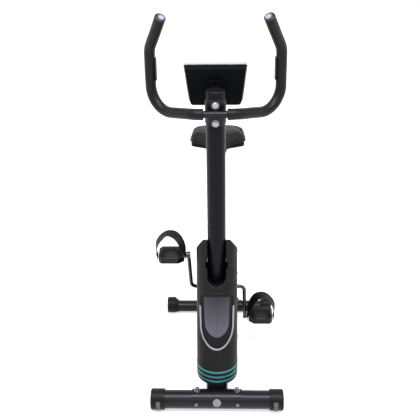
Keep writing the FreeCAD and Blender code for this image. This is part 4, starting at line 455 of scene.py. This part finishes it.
BARE_METALS = {           # colour and roughness
    "bolt_steel": ((0.34, 0.34, 0.34), 0.34),
    "nut_dark": ((0.14, 0.14, 0.15), 0.3),
    "plain_steel": ((0.4, 0.4, 0.42), 0.38),
    "flywheel_iron": ((0.22, 0.22, 0.23), 0.45),
    "magnet_metal": ((0.45, 0.45, 0.47), 0.25),
    "screw_black": ((0.02, 0.02, 0.02), 0.4),
}
FINISHES = {              # nodes whose finish differs from their slot's
    "handlebar_post": "post_black",
    "frame_mast": "post_black",
}


def made_materials():
    made = {name: surface(name, colour, rough, **more) for name, (colour, rough, more) in SURFACES.items()}
    for name, (colour, rough) in BARE_METALS.items():
        made[name] = brushed(name, colour, rough)
    made["shield_plastic"] = shield()
    made["grip_foam"] = foam()
    made["plug_plastic"] = plug()
    made["board_laminate"] = board()
    made["seat_vinyl"] = vinyl()
    made["strap_rubber"] = strap()
    return made


MATERIALS = made_materials()


def dress_cad():
    """Every CAD node takes the finish of its slot; the post's powder coat is duller than the tubes'."""
    for part in frame["record"]["subparts"]:
        node = NODES[part["node"]]
        node.data.materials.clear()
        finish = FINISHES.get(part["node"], part["material_slot"])
        node.data.materials.append(MATERIALS[finish])


# ------------------------------------------------------------ studio
def plain_rays(tree):
    """1 for camera, glossy and transmission rays, which see the white background."""
    path = tree.nodes.new("ShaderNodeLightPath")
    value = path.outputs["Is Camera Ray"]
    for word in ("Is Glossy Ray", "Is Transmission Ray"):
        either = tree.nodes.new("ShaderNodeMath")
        either.operation = "MAXIMUM"
        tree.links.new(value, either.inputs[0])
        tree.links.new(path.outputs[word], either.inputs[1])
        value = either.outputs[0]
    return value


def add_world():
    world = bpy.data.worlds.new("studio")
    world.use_nodes = True
    tree = world.node_tree
    plain = tree.nodes["Background"]
    plain.inputs["Color"].default_value = (1, 1, 1, 1)
    plain.inputs["Strength"].default_value = AMBIENT
    white = tree.nodes.new("ShaderNodeBackground")
    white.inputs["Color"].default_value = (1, 1, 1, 1)
    mix = tree.nodes.new("ShaderNodeMixShader")
    tree.links.new(plain_rays(tree), mix.inputs["Fac"])
    tree.links.new(plain.outputs[0], mix.inputs[1])
    tree.links.new(white.outputs[0], mix.inputs[2])
    tree.links.new(mix.outputs[0], tree.nodes["World Output"].inputs["Surface"])
    SCENE.world = world


def floor_paper():
    """White paper: it shows the lamps' light and shadow near the bike and turns plain white further out."""
    g = Graph("floor_paper")
    g.link(g.ramp(g.noise(0.6, 2.0), ((0.3, (0.79, 0.79, 0.79)), (0.7, (0.81, 0.81, 0.81)))),
           g.shader.inputs["Base Color"])
    g.link(g.spread(g.noise(30.0), 0.3, 0.7, 0.85, 0.95), g.shader.inputs["Roughness"])
    g.link(g.bump(g.noise(400.0), 0.05, 0.0002), g.shader.inputs["Normal"])
    g.shader.inputs["Specular IOR Level"].default_value = 0.05
    away = g.tree.nodes.new("ShaderNodeVectorMath")
    away.operation = "LENGTH"
    g.link(g.coords, away.inputs[0])
    strength = g.tree.nodes.new("ShaderNodeMath")
    strength.operation = "MULTIPLY"
    g.link(g.spread(away.outputs["Value"], PAPER_NEAR, PAPER_FAR, PAPER_GLOW, 1.0), strength.inputs[0])
    g.link(plain_rays(g.tree), strength.inputs[1])
    glow = g.tree.nodes.new("ShaderNodeEmission")
    g.link(strength.outputs[0], glow.inputs["Strength"])
    both = g.tree.nodes.new("ShaderNodeAddShader")
    g.link(g.shader.outputs[0], both.inputs[0])
    g.link(glow.outputs[0], both.inputs[1])
    g.link(both.outputs[0], g.tree.nodes["Material Output"].inputs["Surface"])
    return g.material


def add_floor():
    mesh = bpy.data.meshes.new("floor")
    corners = [Vector((x, y, 0)) * FLOOR_HALF for x, y in ((-1, -1), (1, -1), (1, 1), (-1, 1))]
    mesh.from_pydata(corners, [], [(0, 1, 2, 3)])
    mesh.materials.append(floor_paper())
    floor = bpy.data.objects.new("floor", mesh)
    SCENE.collection.objects.link(floor)


def add_lamp(name, place, target, size, power):
    data = bpy.data.lights.new(name, "AREA")
    data.shape = "RECTANGLE"
    data.size, data.size_y = size
    data.energy = power
    lamp = bpy.data.objects.new(name, data)
    lamp.location = place
    lamp.rotation_euler = (Vector(target) - Vector(place)).to_track_quat("-Z", "Y").to_euler()
    SCENE.collection.objects.link(lamp)


# ------------------------------------------------------------ mesh helpers
def work_object(data):
    thing = bpy.data.objects.new("work", data)
    SCENE.collection.objects.link(thing)
    return thing


def baked(thing):
    """Mesh of an object with its modifiers applied; the object goes."""
    bpy.context.view_layer.update()
    graph = bpy.context.evaluated_depsgraph_get()
    mesh = bpy.data.meshes.new_from_object(thing.evaluated_get(graph))
    bpy.data.objects.remove(thing)
    return mesh


def evenly_divided(node, voxel):
    """Copy of a soft CAD solid in small even faces."""
    work = work_object(NODES[node].data.copy())
    remesh = work.modifiers.new("voxels", "REMESH")
    remesh.mode = "VOXEL"
    remesh.voxel_size = voxel
    return baked(work)


def subdivided(mesh):
    work = work_object(mesh)
    work.modifiers.new("finer", "SUBSURF").levels = 1
    return baked(work)


def relaxed(mesh, rounds):
    work = work_object(mesh)
    smooth = work.modifiers.new("relax", "SMOOTH")
    smooth.iterations = rounds
    smooth.factor = 0.5
    return baked(work)


def search_tree(mesh):
    return BVHTree.FromPolygons([vertex.co for vertex in mesh.vertices],
                                [tuple(face.vertices) for face in mesh.polygons])


def mesh_from(bm, name):
    mesh = bpy.data.meshes.new(name)
    bm.to_mesh(mesh)
    bm.free()
    return mesh


def bridge_loops(bm, first, second):
    """Faces between two closed rings of equally many points."""
    count = len(first)
    for index in range(count):
        after = (index + 1) % count
        bm.faces.new((first[index], first[after], second[after], second[index]))


def bridge_rows(bm, first, second):
    """Faces between two open rows of equally many points."""
    for index in range(len(first) - 1):
        bm.faces.new((first[index], first[index + 1], second[index + 1], second[index]))


def add_piece(name, mesh, slot, body, material=None):
    mesh.materials.clear()
    mesh.materials.append(material or MATERIALS[slot])
    for face in mesh.polygons:
        face.use_smooth = True
    piece = bpy.data.objects.new(name, mesh)
    SCENE.collection.objects.link(piece)
    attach(piece, body)
    return piece


def step_up(value, low, high):
    """0 below low, 1 above high, smooth between."""
    share = min(1.0, max(0.0, (value - low) / (high - low)))
    return share * share * (3 - 2 * share)


def add_capsule(bm, start, end, radius, sides=8, rings=3):
    """Rounded bar between two points, added to a bmesh."""
    along = (end - start).normalized()
    across = along.orthogonal().normalized()
    beside = along.cross(across)
    circles = []
    for centre, angles in ((start, range(-rings, 1)), (end, range(0, rings + 1))):
        for index in angles:
            tilt = math.radians(80.0 * index / rings)
            middle = centre + along * (radius * math.sin(tilt))
            reach = radius * math.cos(tilt)
            circles.append([bm.verts.new(middle + (across * math.cos(turn) + beside * math.sin(turn)) * reach)
                            for turn in (2 * math.pi * side / sides for side in range(sides))])
    for low, high in zip(circles, circles[1:]):
        bridge_loops(bm, low, high)
    bm.faces.new(list(reversed(circles[0])))
    bm.faces.new(circles[-1])


def capsule_mesh(name, bars):
    """Mesh of many rounded bars: (start, end, radius) each."""
    bm = bmesh.new()
    for start, end, radius in bars:
        add_capsule(bm, start, end, radius)
    return mesh_from(bm, name)


def smooth_curve(name, points, order, resolution, closed=False):
    """Curve of one spline with the points as its control points."""
    curve = bpy.data.curves.new(name, "CURVE")
    curve.dimensions = "3D"
    curve.resolution_u = resolution
    spline = curve.splines.new("NURBS")
    spline.points.add(len(points) - 1)
    for point, place in zip(spline.points, points):
        point.co = (*place, 1)
    spline.order_u = order
    spline.use_cyclic_u = closed
    spline.use_endpoint_u = not closed
    return curve


def round_tube(name, points, radius, closed=False):
    """Smooth tube along points."""
    curve = smooth_curve(name, points, 4, 4, closed)
    curve.bevel_depth = radius
    curve.bevel_resolution = 4
    return baked(work_object(curve))


# ------------------------------------------------------------ seat
def inflated(mesh, held):
    """The mesh after cloth pressure has filled it out, with a cap on how far a point moves."""
    starts = [vertex.co.copy() for vertex in mesh.vertices]
    work = work_object(mesh)
    group = work.vertex_groups.new(name="held")
    group.add(held, 1.0, "REPLACE")
    cloth = work.modifiers.new("cloth", "CLOTH")
    cloth.settings.use_pressure = True
    cloth.settings.uniform_pressure_force = CUSHION_PRESSURE
    cloth.settings.effector_weights.gravity = 0
    cloth.settings.vertex_group_mass = "held"
    cloth.point_cache.frame_start = 1
    cloth.point_cache.frame_end = CUSHION_FRAMES
    for step in range(1, CUSHION_FRAMES + 1):
        SCENE.frame_set(step)
    mesh = baked(work)
    SCENE.frame_set(1)
    for vertex, start in zip(mesh.vertices, starts):
        move = vertex.co - start
        if move.length > CUSHION_CAP:
            vertex.co = start + move.normalized() * CUSHION_CAP
    return mesh


def seat_outline():
    """Plan outline of the CAD cushion at its foot, as points in order round it."""
    low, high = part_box("seat_cushion")
    middle = (low + high) / 2
    foot = [vertex.co for vertex in NODES["seat_cushion"].data.vertices if vertex.co.z < low.z + 0.0005]
    turns = {}
    for point in foot:
        turn = math.atan2(point.y - middle.y, point.x - middle.x)
        key = round(turn, 3)
        reach = math.hypot(point.x - middle.x, point.y - middle.y)
        if key not in turns or reach > turns[key][0]:
            turns[key] = (reach, point)
    ring = [turns[key][1] for key in sorted(turns)]
    dense = []
    for here, after in zip(ring, ring[1:] + ring[:1]):
        count = max(1, int((after - here).length / OUTLINE_STEP))
        dense += [here.lerp(after, index / count) for index in range(count)]
    return dense


def flat_distance(points):
    """Function that gives the plan distance of a place from the outline."""
    tree = KDTree(len(points))
    for index, point in enumerate(points):
        tree.insert((point.x, point.y, 0), index)
    tree.balance()
    return lambda place: tree.find((place.x, place.y, 0))[2]


def crowned(mesh, outline):
    """Dished middle, raised tail, a channel down the middle and the sewn groove."""
    low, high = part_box("seat_cushion")
    distance = flat_distance(outline)
    length = high.y - low.y
    for vertex in mesh.vertices:
        place = vertex.co
        up = step_up(place.z, low.z + CROWN_START, high.z - CROWN_END)
        if up == 0:
            continue
        back = (place.y - low.y) / length
        inside = distance(place)
        dish = DISH_DEPTH * math.exp(-((back - DISH_PLACE) / DISH_SPREAD) ** 2)
        tail = TAIL_RISE * step_up(back, 0.62, 0.95)
        along = step_up(back, 0.08, 0.3) * step_up(1 - back, 0.12, 0.4)
        channel = CHANNEL_DEPTH * math.exp(-(place.x / CHANNEL_HALF) ** 2) * along
        groove = SEAM_DEPTH * math.exp(-((inside - SEAM_INSET) / SEAM_HALF) ** 2)
        place.z += up * (tail - dish - channel - groove)
    for vertex in mesh.vertices:
        vertex.co.z = max(vertex.co.z, low.z)
    mesh.update()
    return mesh


def seat_mesh(outline):
    low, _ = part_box("seat_cushion")
    mesh = evenly_divided("seat_cushion", CUSHION_VOXEL)
    for vertex in mesh.vertices:
        vertex.co -= vertex.normal * CUSHION_SHRINK * step_up(vertex.co.z, low.z, low.z + CUSHION_SHRINK_RISE)
    held = [vertex.index for vertex in mesh.vertices if vertex.co.z < low.z + CUSHION_HELD]
    mesh = inflated(mesh, held)
    return crowned(subdivided(relaxed(mesh, CUSHION_RELAX)), outline)


def seam_line(mesh, outline):
    """Places on top of the cushion along its sewn line."""
    low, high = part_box("seat_cushion")
    middle = (low + high) / 2
    tree = search_tree(mesh)
    seam = []
    for point in outline:
        inward = Vector((middle.x - point.x, middle.y - point.y, 0)).normalized()
        start = point + inward * SEAM_INSET * THREAD_INSET
        start.z = high.z + 0.05
        seam.append(tree.ray_cast(start, Vector((0, 0, -1)))[0])
    return seam


def stitches_along(seam):
    stitches = []
    gone = 0.0
    for here, after in zip(seam, seam[1:] + seam[:1]):
        run = (after - here).length
        while gone < run:
            start = here.lerp(after, gone / run)
            end = start + (after - here).normalized() * STITCH
            stitches.append((start, end, THREAD_RADIUS))
            gone += STITCH_PITCH
        gone -= run
    return stitches


def add_seat():
    """Padded seat: filled-out cover, thread along its sewn line, and the piping round its foot."""
    outline = seat_outline()
    mesh = seat_mesh(outline)
    cover = add_piece("seat_cover", mesh, "seat_vinyl", "seat_unit")
    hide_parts("seat_cushion")

    thread = capsule_mesh("seat_thread", stitches_along(seam_line(mesh, outline)))
    add_piece("seat_thread", thread, "seat_vinyl", "seat_unit", MATERIALS["seat_thread"])

    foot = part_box("seat_cushion")[0].z
    welt = [Vector((point.x, point.y, foot + WELT_HEIGHT)) for point in outline[::3]]
    add_piece("seat_piping", round_tube("seat_piping", welt, WELT_RADIUS, True), "seat_vinyl", "seat_unit")


# ------------------------------------------------------------ grips
def add_grips():
    """Foam sleeves over the steel bar, a little lumpy and swollen at their inner ends."""
    mesh = relaxed(evenly_divided("grips", FOAM_VOXEL), FOAM_RELAX)
    tree = search_tree(NODES["handlebar_tube"].data)
    for vertex in mesh.vertices:
        near, _, _, reach = tree.find_nearest(vertex.co)
        if reach < FOAM_INSIDE:
            continue
        out = (vertex.co - near).normalized()
        place = vertex.co
        wave = math.sin(place.z * 61.0 + place.x * 37.0) * math.sin(place.x * 83.0 + place.y * 47.0)
        lip = FOAM_LIP * math.exp(-((abs(place.x) - GRIP_START) / FOAM_LIP_HALF) ** 2)
        vertex.co = place + out * (FOAM_LUMP * wave + lip)
    mesh.update()
    piece = add_piece("grip_foam", mesh, "grip_foam", "frame")
    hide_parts("grips")


# ------------------------------------------------------------ pedals
class PedalFrame:
    """Directions of one pedal: outward along its spindle, up from its tread and ahead to its toe edge."""

    def __init__(self, side):
        joints = frame["record"]["behaviour"]["joints"]
        joint = next(item for item in joints if item["name"] == f"pedal_{side}_spin")
        self.centre = Vector(joint["pos_m"])
        tread = [face for face in NODES["pedal_" + side].data.polygons if face.normal.z > 0.7]
        self.up = max(tread, key=lambda face: face.area).normal.copy()
        self.out = Vector((-1 if side == "left" else 1, 0, 0))
        self.ahead = Vector((1, 0, 0)).cross(self.up)

    def local(self, place):
        offset = place - self.centre
        return offset.dot(self.out), offset.dot(self.ahead), offset.dot(self.up)

    def place(self, out, ahead, up):
        return self.centre + self.out * out + self.ahead * ahead + self.up * up

    def reach(self, node):
        """Lowest and highest local coordinates of a node."""
        spots = [self.local(vertex.co) for vertex in NODES[node].data.vertices]
        return [min(axis) for axis in zip(*spots)], [max(axis) for axis in zip(*spots)]


def strap_line(pedal, side, inner, outer):
    """Line of the strap's middle over the foot, as (out, up, 0) places."""
    low, high = pedal.reach("pedal_strap_" + side)
    foot = pedal.reach("pedal_" + side)[1][0] + STRAP_THICK
    top = high[2] * STRAP_TOP[side]
    end = low[2] + STRAP_END
    middle = (inner + outer) / 2
    half = (outer - inner) / 2
    points = (
        (inner, end, 0),
        (inner, top * 0.16, 0),
        (inner - 0.001, top * 0.42, 0),
        (middle - half * 0.82, top * 0.78, 0),
        (middle - half * 0.42, top * 1.02, 0),
        (middle + half * 0.2, top * 1.05, 0),
        (middle + half * 0.7, top * 0.86, 0),
        (outer + 0.001, top * 0.58, 0),
        (outer, top * 0.28, 0),
        (foot, top * 0.12, 0),
        (foot, end, 0))
    mesh = baked(work_object(smooth_curve("line", points, 3, STRAP_STEPS)))
    return [vertex.co.copy() for vertex in mesh.vertices]


def add_strap(side):
    """Rubber strap over the toes: a ribbon with thicker edges, whose front edge leans in and down."""
    node = "pedal_strap_" + side
    pedal = PedalFrame(side)
    low, high = pedal.reach(node)
    inner = low[0] + STRAP_THICK / 2
    outer = high[0] - STRAP_EASE
    line = strap_line(pedal, side, inner, outer)
    bm = bmesh.new()
    rings = []
    for index, spot in enumerate(line):
        before = line[max(0, index - 1)]
        after = line[min(len(line) - 1, index + 1)]
        along = (after - before).normalized()
        outward = Vector((-along.y, along.x, 0)) * STRAP_THICK
        raised = step_up(spot.y, 0.012, 0.055)
        turned = STRAP_TWIST * step_up((spot.x - inner) / (outer - inner), 0.3, 0.85)
        lean = STRAP_LEAN * raised * (1 - turned)
        ring = []
        for share, off in STRAP_PROFILE:
            out = spot.x + lean * share + outward.x * off
            up = spot.y - STRAP_DROP * raised * share + outward.y * off
            ring.append(bm.verts.new(pedal.place(out, low[1] + (high[1] - low[1]) * share, up)))
        rings.append(ring)
    for first, second in zip(rings, rings[1:]):
        bridge_loops(bm, first, second)
    bm.faces.new(rings[0])
    bm.faces.new(rings[-1][::-1])
    bmesh.ops.recalc_face_normals(bm, faces=bm.faces)
    piece = add_piece("strap_" + side, mesh_from(bm, "strap_" + side), "strap_rubber", f"pedal_{side}_unit")
    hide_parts(node)


def pad_layer(bm, pedal, middle, half, height):
    """Rows of points of the pad's rounded outline, at the height that a function of the place gives."""
    layer = []
    for row in range(PAD_ROWS + 1):
        v = PAD_REACH * (2 * row / PAD_ROWS - 1)
        ahead = middle[1] + half[1] * v
        width = half[0] * (1 - abs(v) ** PAD_ROUND) ** (1 / PAD_ROUND)
        line = []
        for column in range(PAD_COLUMNS + 1):
            u = 2 * column / PAD_COLUMNS - 1
            line.append(bm.verts.new(pedal.place(middle[0] + width * u, ahead, height(u, v, ahead))))
        layer.append(line)
    return layer


def add_pad(side):
    """Rounded, ribbed and crowned rubber pad over the pedal."""
    pedal = PedalFrame(side)
    low, high = pedal.reach("pedal_" + side)
    middle = [(low[axis] + high[axis]) / 2 for axis in range(2)]
    half = [(high[axis] - low[axis]) / 2 - PAD_INSET for axis in range(2)]
    top = high[2] - EDGE_RIB_SINK

    def crown(u, v, ahead):
        fall = (1 - abs(u) ** PAD_ROUND) * (1 - abs(v) ** PAD_ROUND)
        rib = RIB_RISE * max(0.0, math.cos(ahead * math.tau / RIB_PITCH)) * min(1.0, fall * 4)
        return top + PAD_CROWN * fall + rib

    bm = bmesh.new()
    upper = pad_layer(bm, pedal, middle, half, crown)
    lower = pad_layer(bm, pedal, middle, half, lambda u, v, ahead: top - PAD_SKIRT)
    for layer in (upper, lower):
        for first, second in zip(layer, layer[1:]):
            bridge_rows(bm, first, second)
    for end in (0, -1):
        bridge_rows(bm, upper[end], lower[end])
        bridge_rows(bm, [line[end] for line in upper], [line[end] for line in lower])
    bmesh.ops.recalc_face_normals(bm, faces=bm.faces)
    add_piece("pad_" + side, mesh_from(bm, "pad_" + side), "pedal_plastic", f"pedal_{side}_unit")


def add_edge_ribs(side):
    """Rounded ribs along the pedal's toe and heel edges."""
    pedal = PedalFrame(side)
    low, high = pedal.reach("pedal_" + side)
    bars = []
    for edge in (low[1], high[1]):
        ahead = edge + (EDGE_RIB_SINK if edge < 0 else -EDGE_RIB_SINK)
        for up in EDGE_RIB_UPS:
            start = pedal.place(low[0] + EDGE_RIB_INNER, ahead, up)
            end = pedal.place(high[0] - EDGE_RIB_OUTER, ahead, up)
            bars.append((start, end, EDGE_RIB_RADIUS))
    add_piece("tread_" + side, capsule_mesh("tread_" + side, bars), "pedal_plastic", f"pedal_{side}_unit")


# ------------------------------------------------------------ shroud trim
class Nose:
    """Finds the shroud's outside by looking at it from the front."""

    def __init__(self):
        self.trees = [search_tree(NODES[node].data) for node in ("shroud_left", "shroud_right")]

    def at(self, x, z):
        start = Vector((x, CAD_BOUNDS[0][1] - 0.1, z))
        places = [tree.ray_cast(start, Vector((0, 1, 0)))[0] for tree in self.trees]
        found = [place for place in places if place is not None]
        return min(found, key=lambda place: place.y) if found else None


def add_nose_seam(nose):
    """Arched edge of the upper cover, just over the shield."""
    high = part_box("shroud_shield")[1]
    half = high.x + SEAM_OVERHANG
    points = []
    for step in range(TRIM_STEPS + 1):
        share = 2 * step / TRIM_STEPS - 1
        points.append(nose.at(half * share, high.z + SEAM_OVER - SEAM_ARCH * share ** 2))
    add_piece("nose_seam", round_tube("nose_seam", points, TRIM_RADIUS), "shield_plastic", "frame")


def slot_edge(nose, turn):
    """Plan of the slot's edge in one direction from inside it: the first place on the nose's outside."""
    reach = RIM_START
    while reach < RIM_LIMIT:
        x = reach * math.cos(turn)
        z = RIM_Z + reach * math.sin(turn)
        spot = nose.at(x, z)
        if spot is not None and spot.y < nose.at(RIM_FLANK, z).y:
            break
        reach += RIM_SEARCH
    return x, z


def add_slot_rim(nose):
    """Rolled rim round the lower end of the slot that the post comes through."""
    points = []
    for step in range(TRIM_STEPS + 1):
        turn = math.radians(RIM_FROM + RIM_TURN * step / TRIM_STEPS)
        x, z = slot_edge(nose, turn)
        points.append(nose.at(x + TRIM_RADIUS * math.cos(turn), z + TRIM_RADIUS * math.sin(turn)))
    add_piece("slot_rim", round_tube("slot_rim", points, TRIM_RADIUS), "shield_plastic", "frame")


# ------------------------------------------------------------ assembly
add_camera()
add_world()
add_floor()
for lamp in LAMPS:
    add_lamp(*lamp)
dress_cad()
add_seat()
add_grips()
nose = Nose()
add_nose_seam(nose)
add_slot_rim(nose)
for side in ("left", "right"):
    add_strap(side)
    add_pad(side)
    add_edge_ribs(side)


def plain(bounds):
    return [[round(value, 6) for value in corner] for corner in bounds]
